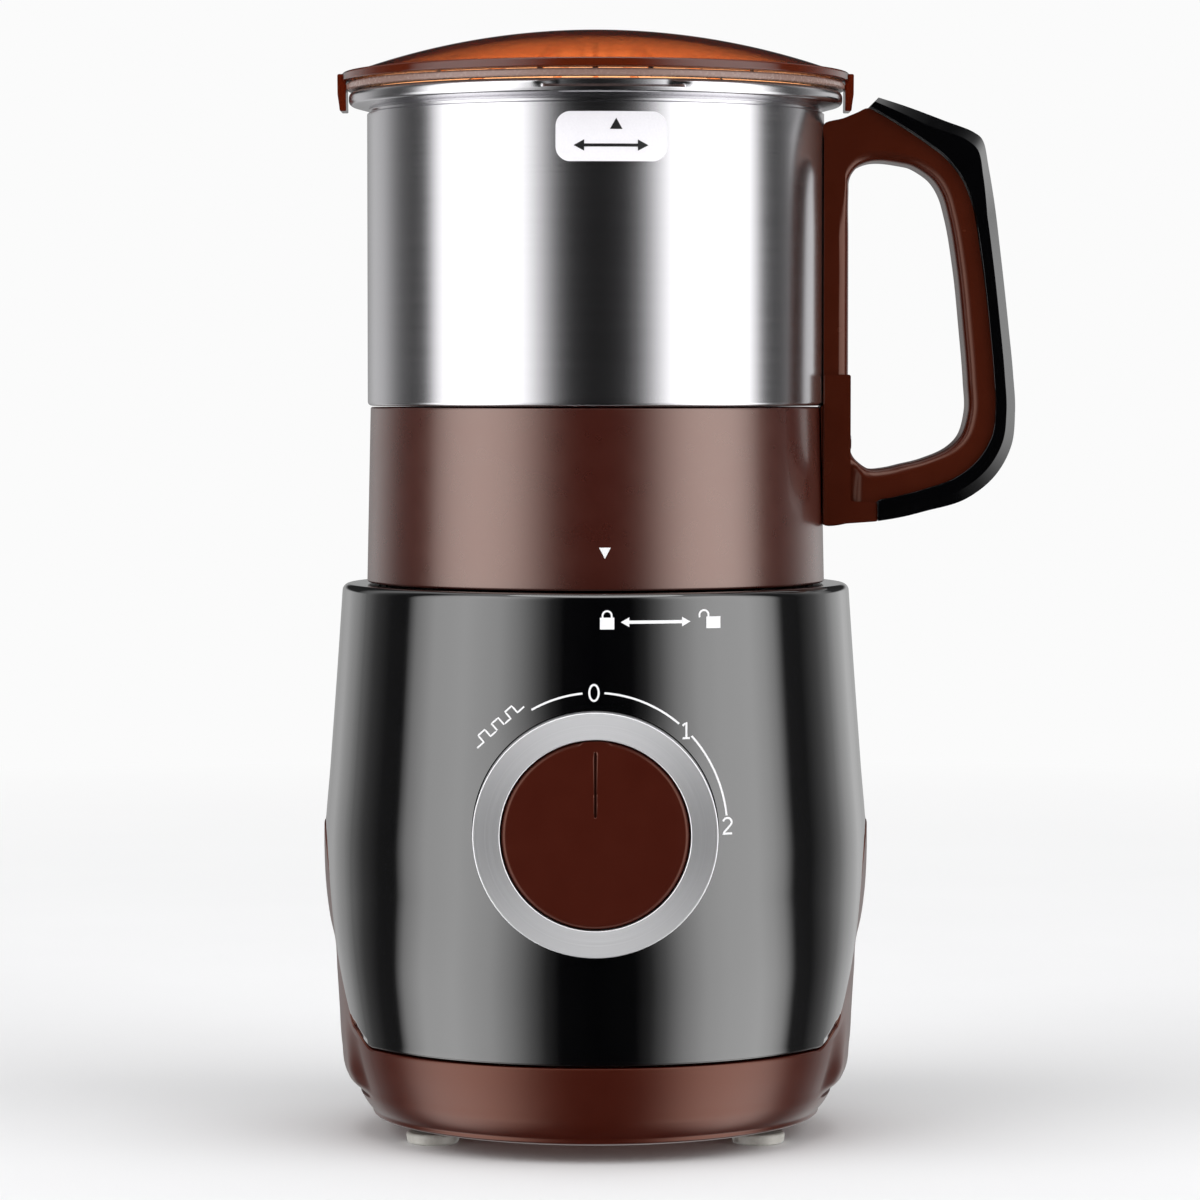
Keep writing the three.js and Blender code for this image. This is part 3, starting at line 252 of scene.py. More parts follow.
def ramp(tree, value, low, high, valueLow, valueHigh):
    return addNode(tree, "ShaderNodeMapRange", {
        "Value": value, "From Min": low, "From Max": high, "To Min": valueLow, "To Max": valueHigh,
    }).outputs[0]


def mathOf(tree, operation, first, second):
    return addNode(tree, "ShaderNodeMath", {0: first, 1: second}, operation=operation).outputs[0]


def bumpOn(tree, shader, height, depthMm, strength=1.0):
    made = addNode(tree, "ShaderNodeBump", {"Height": height, "Distance": depthMm * mm, "Strength": strength})
    tree.links.new(made.outputs[0], shader.inputs["Normal"])


def mixOf(tree, factor, first, second):
    ends = {"Factor": factor, "A": linear(first), "B": linear(second)}
    return addNode(tree, "ShaderNodeMix", ends, data_type="RGBA").outputs["Result"]


def shade(tree, shader, pattern, dark, light, rough, span=(0.3, 0.7)):
    # one pattern gives both the colour, from dark to light, and the roughness
    tree.links.new(mixOf(tree, pattern, dark, light), shader.inputs["Base Color"])
    tree.links.new(ramp(tree, pattern, *span, *rough), shader.inputs["Roughness"])


def glossPlastic(name, dark, light, waveMm, rough, coat, coatRough, ior=1.53, sheen="#ffffff"):
    # ABS moulded against a polished tool: a faint moulding wave, fine flow marks, and a clear hard skin
    material, tree, shader, _ = newMaterial(
        name, IOR=ior, Specular_Tint=linear(sheen),
        Coat_Weight=coat, Coat_Roughness=coatRough, Coat_IOR=1.58,
    )
    flow = noiseOn(tree, 6, detail=2)
    shade(tree, shader, flow, dark, light, (rough - 0.03, rough + 0.03), (0, 1))
    bumpOn(tree, shader, noiseOn(tree, waveMm, detail=1), 0.04)
    return material


def polishedSteel():
    # 304 stainless, spun and buffed: bright, with faint rings round the cup from the buffing wheel
    material, tree, shader, _ = newMaterial("polishedSteel", Metallic=1.0)
    rings = noiseOn(tree, 40, detail=6, roughness=0.7, stretch=(1, 1, 90))
    shade(tree, shader, rings, "#c2c1c4", "#cccbce", (0.19, 0.22))
    bumpOn(tree, shader, rings, 0.001, 0.2)
    return material


def satinAluminium():
    # lathe-turned aluminium: fine rings round the dial's axis, so that light fans out from its centre
    material, tree, shader, _ = newMaterial("satinAluminium", Metallic=1.0, Anisotropic=0.55)
    coordinates = addNode(tree, "ShaderNodeTexCoord").outputs["Object"]
    centred = addNode(tree, "ShaderNodeMapping", {
        "Vector": coordinates, "Location": (-axisX, 0, -dialZ * mm), "Scale": (1, 0, 1),
    }).outputs[0]
    radius = addNode(tree, "ShaderNodeVectorMath", {0: centred}, operation="LENGTH").outputs["Value"]
    ends = {0: centred, 1: (0, 1, 0)}
    alongRing = addNode(tree, "ShaderNodeVectorMath", ends, operation="CROSS_PRODUCT").outputs[0]
    tree.links.new(alongRing, shader.inputs["Tangent"])
    ringSpacingMm = 0.35
    inputs = {"W": radius, "Scale": 1 / (ringSpacingMm * mm), "Detail": 2}
    rings = addNode(tree, "ShaderNodeTexNoise", inputs, noise_dimensions="1D").outputs["Fac"]
    shade(tree, shader, rings, "#dcdcde", "#e6e6e8", (0.5, 0.56))
    bumpOn(tree, shader, rings, 0.004, 0.4)
    return material


def plainSteel():
    # zinc-plated steel for fasteners and shafts: a soft grey shine with a cloudy grain
    material, tree, shader, _ = newMaterial("plainSteel", Metallic=1.0)
    shade(tree, shader, noiseOn(tree, 2, detail=4), "#8e9094", "#b4b6ba", (0.25, 0.4))
    return material


def amberPlastic(name, tint, density, clear):
    # clear amber SAN: orange where thin, deep red where the light goes a long way through it
    material, tree, shader, output = newMaterial(
        name, IOR=1.46, Transmission_Weight=clear, Base_Color=linear(tint), Roughness=0.06
    )
    # painted shade: the base colour turns deep brown where the moulding is seen nearly edge-on
    facing = addNode(tree, "ShaderNodeLayerWeight", {"Blend": 0.5}).outputs["Facing"]
    edgeOnShade = ramp(tree, facing, 0.79, 0.88, 0, 1)
    tree.links.new(mixOf(tree, edgeOnShade, tint, "#3c1c13"), shader.inputs["Base Color"])
    absorb = addNode(tree, "ShaderNodeVolumeAbsorption", {"Color": linear("#f0b03c"), "Density": density})
    tree.links.new(absorb.outputs[0], output.inputs["Volume"])
    bumpOn(tree, shader, noiseOn(tree, 18, detail=1), 0.03)
    return material


def grained(name, dark, light, grainMm, roughness, metal=False, stretch=(1, 1, 1)):
    # matt and finely grained, as moulded rubber, soft plastic and ink are. As metal it is wound wire or
    # stacked sheets, with the grain stretched along the strands or the sheets' edges
    material, tree, shader, _ = newMaterial(name, **({"Metallic": 1.0} if metal else {"IOR": 1.5}))
    grain = noiseOn(tree, grainMm, detail=4, stretch=stretch)
    spread, depthMm = (0.07, 0.02) if metal else (0.06, 0.03)
    shade(tree, shader, grain, dark, light, (roughness - spread, roughness + spread))
    bumpOn(tree, shader, grain, depthMm)
    return material


finishes = {
    # each CAD slot's finish; a deep mirror, like lacquer
    "gloss_black": glossPlastic("pianoBlackAbs", "#020203", "#040405", 26, 0.09, 1.0, 0.04),
    # chocolate brown under a strong soft shine
    "gloss_brown": glossPlastic("glossBrownAbs", "#360b04", "#3c0e05", 30, 0.28, 0.3, 0.12, 1.98, "#ffdfd2"),
    "satin_aluminium": satinAluminium(),
    "polished_steel": polishedSteel(),
    "plain_steel": plainSteel(),
    "amber_clear": amberPlastic("amberSan", "#fff0d8", 560.0, 1.0),
    "black_rubber": grained("nitrileRubber", "#141415", "#1e1e20", 0.6, 0.62),
    "pale_rubber": grained("siliconeRubber", "#b4b2ab", "#cfcdc6", 0.8, 0.4),
    "copper": grained("enamelledCopper", "#8a4420", "#b8672f", 0.6, 0.38, True, (1, 1, 12)),
    "lamination": grained("siliconSteelStack", "#3e4146", "#63676d", 0.5, 0.45, True, (0.05, 0.05, 1)),
    "moulded_white": grained("thermosetMoulding", "#c9c6bc", "#dedbd1", 1.0, 0.5),
    "board": grained("solderMask", "#17512a", "#1f6a37", 2.0, 0.35),
    "carbon": grained("carbonBrush", "#161616", "#232323", 0.4, 0.7),
    "nylon": grained("nylon", "#d9d6ca", "#ebe8dd", 1.5, 0.42),
    # other looks; the same brown with a quieter sheen
    "satinBrown": glossPlastic("satinBrownAbs", "#3a0d05", "#401107", 30, 0.3, 0.1, 0.2, 1.62, "#ffbfa6"),
    # a little warmer, and nearly matt on its broad sides
    "handleBrown": glossPlastic("warmBrownAbs", "#3c1105", "#431507", 30, 0.26, 0.1, 0.2, 1.5, "#ffcdb6"),
    # a darker, less clear copy of the amber: the thicker plastic of the brim and hooks is real, and the darker
    # diffuse colour over it is painted shade
    "amberDeepShade": amberPlastic("amberSanThickShaded", "#6a2812", 900.0, 0.45),
    "sealRubber": grained("smokedSilicone", "#8a6f66", "#977c73", 0.8, 0.25),
    "whiteInk": grained("padPrintWhite", "#e6e6e8", "#f4f4f5", 0.3, 0.45),
    "blackInk": grained("padPrintBlack", "#0b0b0c", "#131314", 0.3, 0.45),
    "label": grained("coatedPaperLabel", "#eceaef", "#f6f4f8", 0.5, 0.38),
}
print("finishes made")


# upper housing: a turned shell whose lower edge follows the seam and the two side arches

shell = {
    "rise": 110.0,  # from the seam to the deck
    "heights": [0, 12.5, 23.5, 34.6, 46.6, 66.5, 88.5, 108.5, 114.5],  # above the seam
    "radii": [61.2, 63.35, 64.9, 65.75, 65.95, 64.5, 62.87, 61.5, 61.1],
    "wall": 2.5, "deckFillet": 1.8, "deckThickness": 3.0,
    "edge": 0.45,  # the round along the seam
    "collarFoot": 41.5, "shaftHole": 9.0,  # radii on the deck
}
arch = {
    "halfWidths": [0, 3.2, 9.2, 13.2, 16.0, 17.6, 18.8, 20.6, 24, 29, 33, 40, 70],
    "heights": [52.45, 52.0, 49.45, 44.85, 37.35, 27.25, 17.05, 7.85, 3.75, 0.1, 0, 0, 0],  # above the seam
    "gap": 0.45,
}
deckZ = heightsOf("upper_housing")[1]
seamZ = deckZ - shell["rise"]


def shellRadius(z):  # the shell's outside at a level
    return through(z - seamZ, shell["heights"], shell["radii"])


def columnAngles():
    # degrees round the axis, closer together where the arches are steep
    near, far, reach = 0.25, 1.5, 28
    halves = [np.r_[a - reach:a + reach:near, a + reach:a + 180 - reach:far] for a in (0, 180)]
    return np.radians(np.concatenate(halves))


def seamHeights(angles):
    # level of the seam at each angle: flat at front and back, an arch over each side, worked out in rounds
    # because the half width that sets it depends on the shell's radius at that level
    z = np.full(len(angles), seamZ)
    for _ in range(14):
        width = np.abs(shellRadius(z) * np.sin(angles))
        z = 0.5 * z + 0.5 * (seamZ + through(width, arch["halfWidths"], arch["heights"]))
    return z


def spun(angles, radius, z):
    # each row of radii and heights stands at its own angle round the axis
    return np.stack([radius * np.cos(angles)[:, None], radius * np.sin(angles)[:, None], z + 0 * radius], -1)


def upperHousing():
    # each column runs up the outside, where the radius is a smooth function of height, round the deck's
    # fillet as a quarter circle, over the deck to the shaft hole, and back down at the wall's thickness
    angles = columnAngles()
    edge, wall, fillet = shell["edge"], shell["wall"], shell["deckFillet"]
    low = (seamHeights(angles) + arch["gap"])[:, None]
    rise = np.linspace(0, 1, 72)[None]
    wallZ = low + edge + (deckZ - fillet - low - edge) * rise
    wallR = shellRadius(wallZ)
    turn = np.linspace(0, np.pi / 2, 8)[None]
    topR = shellRadius(deckZ - fillet) - fillet * (1 - np.cos(turn)) + 0 * low
    topZ = deckZ - fillet + fillet * np.sin(turn) + 0 * low
    ceiling = deckZ - shell["deckThickness"]
    deck = np.array([[56, deckZ], [shell["collarFoot"], deckZ], [20, deckZ], [shell["shaftHole"], deckZ],
                     [shell["shaftHole"], ceiling], [30, ceiling], [55, ceiling]])
    innerZ = ceiling - (ceiling - low) * np.linspace(0, 1, 16)[None]
    innerR = shellRadius(innerZ) - wall
    bend = np.linspace(0, np.pi / 2, 5)[None]
    edgeR = shellRadius(low) - edge + edge * np.sin(bend)
    edgeZ = low + edge - edge * np.cos(bend)
    r = np.hstack([wallR, topR, deck[None, :, 0] + 0 * low, innerR, edgeR])
    z = np.hstack([wallZ, topZ, deck[None, :, 1] + 0 * low, innerZ, edgeZ])
    piece = gridPiece("upperHousing", spun(angles, r, z), wrapRows=True, wrapCols=True)
    holeRadius = dial["bezelRadius"] + dial["holeGap"]
    front, back = dial["holeReach"]
    section = np.array([[0, front], [holeRadius, front], [holeRadius, back], [0, back]])
    cut(piece, gridPiece("dialHole", facingFront(turned(section, 128)), wrapRows=True))
    dress(piece, "base", "gloss_black", "upper_housing")


# lower housing: a pan with two scooped wings that rise into the arches

pan = {
    "heights": [0, 0.3, 2.0, 5.7, 9.0, 13.7, 19.55],  # above its flat underside
    "radii": [51, 52.6, 54.5, 57.1, 58.3, 59.8, 61.2],
    # from the seam
    "wingHeights": [-13.35, -12.05, -10.65, -8.75, -1.85, 7.55, 16.35, 23.45, 28.45, 36.5, 44.55, 54.55],
    "wingRadii": [56.6, 57.9, 59.6, 60.7, 61.9, 62.5, 63.05, 63.5, 64.6, 65.65, 66.05, 66.05],
    "wingBlend": (24, 15),  # half widths between which a wing fades into the pan
    "wingReach": 30,  # above the seam only the wing's own curve counts, up to this half width
    "wingStart": 1.5, "wingRun": 6,  # above the seam, where that begins, and the height it takes
    "flankRadius": 62.5,  # the radius by which half widths are measured
    "topGap": 0.05,  # kept free below the seam
    "insideFoot": 48.0,  # radius of the floor inside
    "thickness": 3.0, "wall": 2.5,
}
panFloor = heightsOf("lower_housing")[0]


def panRadius(z, width):
    # pan below the seam, shell above it, easing out to the wing near the middle of each side
    plain = np.where(z < seamZ, through(z - panFloor, pan["heights"], pan["radii"]), shellRadius(z))
    wing = through(z - seamZ, pan["wingHeights"], pan["wingRadii"])
    share = easeIn(-width, -pan["wingBlend"][0], -pan["wingBlend"][1]) * (z - seamZ > pan["wingHeights"][0])
    above = np.clip((z - seamZ - pan["wingStart"]) / pan["wingRun"], 0, 1)
    share = np.maximum(share, above * (width < pan["wingReach"]))
    return plain + (wing - plain) * share


def lowerHousing():
    # each column runs up the outside to the flat seam, on to the arch over it, over the edge, and back down
    # inside to the floor
    angles = columnAngles()
    floorZ, edge = panFloor, shell["edge"]
    top = seamHeights(angles)[:, None] - pan["topGap"]
    seam = seamZ - pan["topGap"]
    lowZ = floorZ + (seam - edge - floorZ) * np.linspace(0, 1, 56)[None] ** 1.25 + 0 * top
    highZ = seam - edge + (top - seam) * np.linspace(0, 1, 48)[None]
    wallZ = np.hstack([lowZ, highZ[:, 1:]])
    width = np.abs(np.sin(angles))[:, None] * pan["flankRadius"]
    wallR = panRadius(wallZ, width)
    bend = np.linspace(0, np.pi / 2, 5)[None]
    edgeR = wallR[:, -1:] - edge * (1 - np.cos(bend))
    edgeZ = top - edge + edge * np.sin(bend)
    innerZ = top - (top - floorZ - 2 * pan["wall"]) * np.linspace(0, 1, 24)[None]
    innerR = panRadius(innerZ, width) - pan["wall"]
    floorRs = pan["insideFoot"] * np.array([[1, 0.5, 0]]) + 0 * top
    underRs = pan["radii"][0] * np.array([[0, 0.5, 0.9]]) + 0 * top
    r = np.hstack([underRs, wallR, edgeR, innerR, floorRs])
    z = np.hstack([floorZ + 0 * underRs, wallZ, edgeZ, innerZ, floorZ + pan["thickness"] + 0 * floorRs])
    piece = gridPiece("lowerHousing", spun(angles, r, z), wrapRows=True)
    dress(piece, "base", "gloss_brown", "lower_housing", look="satinBrown")


# dial: a turned aluminium ring, and a knob with a pointer and an engraved line

dial = {
    "bezelRadius": 28.3, "bezelInner": 21.95, "bezelFace": -68.5, "bezelBack": -56.6, "faceSlope": 0.4,
    "bezelFloor": 2,  # thickness behind the knob
    "spindleHole": 3.4,
    "holeGap": 0.29,  # between the bezel and its hole in the shell
    "holeReach": (-80, -40),  # from front to back, well through the shell
    "knobRadius": 21.7, "knobFace": -68.0, "knobBack": -60.6,
    "shoulder": 1.2,  # radius of the knob's round edge
    "pointerShoulder": 0.25,  # the same at the pointer's end
    "pointerHalfWidth": 3.4,
    "pointerFade": 0.7,  # to each side of the half width
    "crown": 0.25,  # how far the face stands forward at its middle
    "lineTop": 19.1, "lineLength": 15.0, "lineWidth": 0.6, "lineDepth": 0.55,
    "lineFront": -75.0,  # where the cut of the line begins, in front of the face
}


def dialBezel():
    # a flat dish with a thick rim, turned about the dial's axis: its front ring slopes back to the outside
    outer, inner, back, face = (dial[key] for key in ("bezelRadius", "bezelInner", "bezelBack", "bezelFace"))
    hole, dish = dial["spindleHole"], back - dial["bezelFloor"]
    section = rounded([
        (hole, dish, 0), (inner, dish, 0.3), (inner, face, 0.3), (outer, face + dial["faceSlope"], 0.35),
        (outer, back, 0.4), (hole, back, 0),
    ], steps=8)
    piece = gridPiece("dialBezel", facingFront(turned(section)), wrapRows=True, wrapCols=True)
    dress(piece, "base", "satin_aluminium", "dial_bezel")


def knob():
    # rings from the face's centre to the back: the face falls back with the square of the radius, and its
    # edge is a quarter circle that is smaller beside the pointer's end
    angle = np.linspace(0, 2 * np.pi, 360, endpoint=False)[:, None]
    radius, face, back = dial["knobRadius"], dial["knobFace"], dial["knobBack"]
    side = np.abs(radius * np.cos(angle))
    pointer, fade, crown = dial["pointerHalfWidth"], dial["pointerFade"], dial["crown"]
    atTop = (np.sin(angle) < 0) * (1 - easeIn(side, pointer - fade, pointer + fade))
    inset = dial["shoulder"] * (1 - atTop) + dial["pointerShoulder"] * atTop
    t = np.linspace(0, 1, 9)[None]
    shoulderR = radius - inset * (1 - np.sin(t * np.pi / 2))
    shoulderY = face + inset * (1 - np.cos(t * np.pi / 2))
    faceR = np.linspace(0, 1, 12)[None, :-1] * (radius - inset)
    faceY = face - crown + crown * (faceR / radius) ** 2
    r = np.hstack([faceR, shoulderR, radius + 0 * angle, 0 * angle])
    y = np.hstack([faceY, shoulderY, back + 0 * angle, back + 0 * angle])
    points = np.stack([r * np.cos(angle), r * np.sin(angle), y], -1)
    piece = gridPiece("dialKnob", facingFront(points), wrapRows=True)
    half = dial["lineWidth"] / 2
    top, bottom = dial["lineTop"], dial["lineTop"] - dial["lineLength"]
    outline = rounded(
        [(-half, bottom, half), (half, bottom, half), (half, top, half), (-half, top, half)], steps=8
    )
    ends = dial["lineFront"], dial["knobFace"] + dial["lineDepth"]
    cutter = np.stack([atDepth(outline + [0, dialZ], y) for y in ends])
    cut(piece, barPiece("knobLine", cutter))
    dress(piece, "dial", "gloss_brown", "knob", look="satinBrown")


# cup: brown skirt, polished steel vessel with a rolled rim and a notch at the front

cup = {
    "skirtBottom": 55.5, "skirtTop": 54.6,  # radii
    "skirtWall": 2.5, "skirtFloor": 3,
    "socketWall": (43.5, 46),  # radii of the ring that goes down round the collar
    "vesselRadius": 55.3, "vesselWall": 0.9, "vesselFloor": 1,
    "shaftHole": 9.3, "rimRadius": 59.7,
    "notchPlace": 4.2,  # x of the notch's middle
    "notchHalfWidths": (12.7, 18.7),  # between which the notch fades into the rim
    "notchHeights": (1.9, 1.5),  # below the rim's top, between which it begins
    "notchDepth": 2.0,
    "notchKept": 0.12,  # share of the rim's rounding that is left in the notch
}


def skirtRadius(z):  # narrowing evenly with height
    low, high = heightsOf("cup_skirt")
    return cup["skirtBottom"] - (cup["skirtBottom"] - cup["skirtTop"]) * (z - low) / (high - low)


def cupSkirt():
    # a turned section: straight from the bottom radius to the top one outside, and with a ring inside
    low, high = heightsOf("cup_skirt")
    bottom, top, wall, hole = (cup[key] for key in ("skirtBottom", "skirtTop", "skirtWall", "shaftHole"))
    floor = high - cup["skirtFloor"]
    inner, outer = cup["socketWall"]
    section = rounded([
        (hole, floor, 0), (inner, floor, 0), (inner, low + 2, 0.4), (outer, low + 2, 0.4),
        (outer, floor, 0), (top - wall, floor, 1), (bottom - wall, low, 0.4), (bottom, low, 0.6),
        (top, high, 0.5), (hole, high, 0),
    ])
    dress(turnedPiece("cupSkirt", section), "cup", "gloss_brown", "cup_skirt")


def steelCup():
    # a turned section with a groove under a rolled rim. At the front the rim's upper band is drawn in to a
    # limit: what stands out further keeps only a small share of how far it did
    low, high = heightsOf("steel_cup")
    outer, wall, rim, hole = (cup[key] for key in ("vesselRadius", "vesselWall", "rimRadius", "shaftHole"))
    floor, groove = low + cup["vesselFloor"], outer - 0.5
    section = rounded([
        (hole, low, 0), (outer, low, 1.0), (outer, high - 5.4, 0.1), (groove, high - 5.1, 0.1),
        (groove, high - 4.5, 0.2), (rim, high - 3.2, 1.3), (rim, high - 0.1, 1.4),
        (outer + 1.2, high - 0.1, 1.2), (outer - wall, high - 3, 2), (outer - wall, floor, 3),
        (hole, floor, 0),
    ], steps=8)
    points = turned(section, 720)
    inNotch = 1 - easeIn(np.abs(points[..., 0] - cup["notchPlace"]), *cup["notchHalfWidths"])
    begins, full = (high - below for below in cup["notchHeights"])
    inNotch = inNotch * (points[..., 1] < 0) * easeIn(points[..., 2], begins, full)
    radius = np.linalg.norm(points[..., :2], axis=-1)
    limit = rim - cup["notchDepth"]
    drawn = np.where(radius > limit, limit + (radius - limit) * cup["notchKept"], radius)
    scale = 1 + inNotch * (drawn / radius - 1)
    points[..., :2] *= scale[..., None]
    piece = gridPiece("steelCup", points, wrapRows=True, wrapCols=True)
    dress(piece, "cup", "polished_steel", "steel_cup")


# handle: a ring between an outer and an inner line, with a black cover over its outer edge

handle = {
    "frameHalf": 8.6, "gripHalf": 10.0, "rootHalf": 9.3,
    "rootEdge": 0.35,  # bevel round the root's sides
    "rootOutline": [  # x, z and corner radius
        (56, -28.5, 0.4), (68, -27.6, 0.4), (68, -23, 0.4), (61.15, -22.7, 0.6), (61.15, 7.8, 0.5),
        (56, 7.8, 0.4),
    ],
    "barRounds": (2.8, 0.15),  # corner radii of the bar at its inner and its outer side
    "cupGap": 0.3,
    "cupFaceX": 56, "cupFadeX": 60,  # x of the faces towards the cup, and how far out they still follow it
    # outer x, z and inner x, z at matching places round the loop, heights from the skirt's top edge
    "frameLines": [
        (56, 64, 61, 51.5), (56, 68, 61.1, 54.3), (59.6, 69.4, 61.9, 56.3), (63, 70.8, 63.6, 58),
        (65.4, 71.8, 66, 58.9), (68, 70.6, 68.5, 59.1), (72, 68.3, 73.5, 58.5), (79.7, 63.2, 77.6, 57.2),
        (84.4, 59.5, 81.2, 54.5), (88.2, 54.6, 83.6, 50.4), (90.1, 50.2, 84.8, 46.1),
        (92.8, 36.2, 86.9, 34.1), (94.9, 19.7, 88.5, 19.1), (96, 7.8, 89.6, 6.1), (96.4, -1.2, 89.8, -1.4),
        (95.5, -7.2, 88.3, -6.8), (92.5, -12.4, 85.3, -9.9), (86.9, -17, 79.2, -12.6),
        (79.4, -19.8, 74, -13.9), (71.3, -21.9, 70, -14.8), (68.2, -22.6, 67.5, -15.1),
        (66.5, -27.3, 65.4, -14.7), (62, -27.9, 63.4, -13.3), (56.1, -28.4, 62, -11.6),
        (56, -24, 61.3, -9.6), (56, -13, 61, -6.5), (56, 12.1, 61, 12.1), (56, 40.1, 61, 40.1),
    ],
    # beside the root the lower bar is thinned by a share, between these two x and below these two heights
    "barEndX": (61.2, 64.6), "barEndBelow": (12.5, 15), "barEndShare": 0.12,
    # outer x, z and inner x, z of the cover
    "gripLines": [
        (68, 74.3, 65.9, 72.2), (74, 72.4, 72, 68.7), (84, 68.7, 79.9, 63.5), (90.9, 66, 84.6, 59.8),
        (93.2, 63.8, 88.4, 54.9), (94.5, 57.6, 90.3, 50.5), (95.7, 50.6, 91.4, 45.8),
        (97.6, 35.7, 93.1, 35.5), (99.4, 19.7, 94.9, 19.7), (100.6, 7.8, 96, 7.8), (101.1, -1.2, 96.4, -1.2),
        (100.3, -9.1, 95.5, -7.2), (96.7, -16.1, 92.5, -12.4), (89.4, -22.1, 86.9, -17),
        (79.6, -25.1, 79.4, -19.8), (72, -26.9, 71.3, -21.9), (68.2, -27.5, 68.2, -22.6),
    ],
    "bevel": (2.6, 0.7),  # the flat bevel along the cover's outer edge: mm across and mm deep
}


skirtTop = heightsOf("cup_skirt")[1]


def barSection(innerRound, outerRound, halfWidth):
    # a rounded bar seen along its run, from its front inner corner round to its back inner corner:
    # share of the way across, extra mm across, and mm sideways, each corner a quarter circle
    t = np.linspace(0, np.pi / 2, 7)
    s, c = 1 - np.sin(t), 1 - np.cos(t)
    share = np.repeat([0, 1, 1, 0], len(t))
    extra = np.concatenate([innerRound * c, -outerRound * s, -outerRound * c, innerRound * s])
    side = np.concatenate([
        innerRound * s - halfWidth, outerRound * c - halfWidth,
        halfWidth - outerRound * s, halfWidth - innerRound * c,
    ])
    return share, extra, side


def coverSection(halfWidth, across, deep):
    # like barSection, with a flat bevel along the outer edge on both sides and a small one inside
    small = 0.03
    share = np.array([0, 0, 1, 1, 1, 1, 0, 0])
    extra = np.array([0, small, -across, 0, 0, -across, small, 0])
    side = np.array([halfWidth - small, halfWidth, halfWidth, halfWidth - deep])
    return share, extra, np.concatenate([side, -side[::-1]])


def besideCup(points):
    # the faces towards the cup follow it round: at depth y, x becomes the root of the squared radius less
    # y squared, and further out this fades away
    x, y, z = np.moveaxis(points, -1, 0)
    radius = np.where(z < skirtTop, skirtRadius(z), cup["vesselRadius"]) + handle["cupGap"]
    face = handle["cupFaceX"]
    moved = face - np.sqrt(radius**2 - y**2)
    points[..., 0] = x - moved * easeIn(-x, -handle["cupFadeX"], -face - 0.2)
    return points


def sweptBar(name, lines, section, count, closed):
    # the section carried between the outer and the inner line: each point lies at its share of the way from
    # the inner to the outer, plus its extra length in that direction, never more than 45% of the way
    run = spline(lines, count, closed) + [0, skirtTop, 0, skirtTop]
    outer, inner = run[:, None, :2], run[:, None, 2:]
    across = outer - inner
    length = np.linalg.norm(across, axis=-1, keepdims=True)
    share, extra, side = (part[None, :, None] for part in section)
    flat = inner + across * share + across / length * np.clip(extra, -0.45 * length, 0.45 * length)
    points = np.concatenate([flat[..., :1], side + 0 * flat[..., :1], flat[..., 1:]], -1)
    if closed:
        low = easeIn(skirtTop - points[..., 2], *handle["barEndBelow"])
        near = 1 - easeIn(points[..., 0], *handle["barEndX"])
        points[..., 1] *= 1 - handle["barEndShare"] * low * near
    return gridPiece(name, besideCup(points), wrapRows=closed, wrapCols=True, capEnds=not closed)


def handleParts():
    section = barSection(*handle["barRounds"], handle["frameHalf"])
    frameBar = sweptBar("handleFrame", handle["frameLines"], section, 336, closed=True)
    dress(frameBar, "cup", "gloss_brown", "handle_frame", look="handleBrown")
    section = coverSection(handle["gripHalf"], *handle["bevel"])
    grip = sweptBar("handleGrip", handle["gripLines"], section, 240, closed=False)
    smoothSharp(grip, 12)  # keeps the bevel crisp
    dress(grip, "cup", "gloss_black", "handle_grip")
    outline = rounded(handle["rootOutline"], steps=4) + [0, skirtTop]
    half, edge = handle["rootHalf"], handle["rootEdge"]
    layers = [(-half, edge), (-half + edge, 0), (half - edge, 0), (half, edge)]
    inwards = np.sign(outline.mean(0)[0] - outline[:, :1]) * [1, 0]
    rows = np.stack([atDepth(outline + inwards * inset, y) for y, inset in layers])
    dress(barPiece("handleRoot", besideCup(rows)), "cup", "gloss_brown", look="handleBrown")


# lid: a low amber dome with ribs inside, a flange, and a hook at each side

lid = {
    "domeRadius": 59.0, "flangeRadius": 61.4, "wall": 2.0,
    "top": 0.05,  # below the highest level
    "domeFoot": 2.4, "brimGap": 0.3,  # of the dome's lower edge and the brim above the seal
    "brimHeight": 2.1,
    "ribWidth": 1.3, "ribDepth": 1.3,
    "ribStart": 14,  # the ribs leave the middle free
    "ribAngles": (0, 50, 77, 90, 103, 130, 180, 230, 257, 270, 283, 310),
    "touch": 0.05,  # kept free between amber pieces that stand against each other
    "hookHalfWidth": 5,
    # x, height from the brim's underside and corner radius, down the inside and up the outside
    "hookInside": [(60.2, 1.9, 0.2), (60.2, -4.6, 0.5)],
    "hookOutside": [(61.9, -5.4, 0.8), (62.25, -3.0, 0.3), (62.3, 1.9, 0.4)],
    "hookTip": [(60.15, 0.3), (61.7, 0.3)],  # x and corner radius at the lowest level
    "sealRadii": (55.9, 60.3),
}


def domeHeight(radius, drop=0.0):
    # part of a sphere: its centre's level plus the root of the squared sphere radius less the squared radius
    top = heightsOf("lid")[1] - lid["top"]
    base = heightsOf("lid_seal")[1] + lid["domeFoot"]
    rise = top - base
    sphere = (lid["domeRadius"] ** 2 + rise**2) / (2 * rise)
    return top - drop - sphere + np.sqrt(np.maximum(sphere**2 - radius**2, 0))


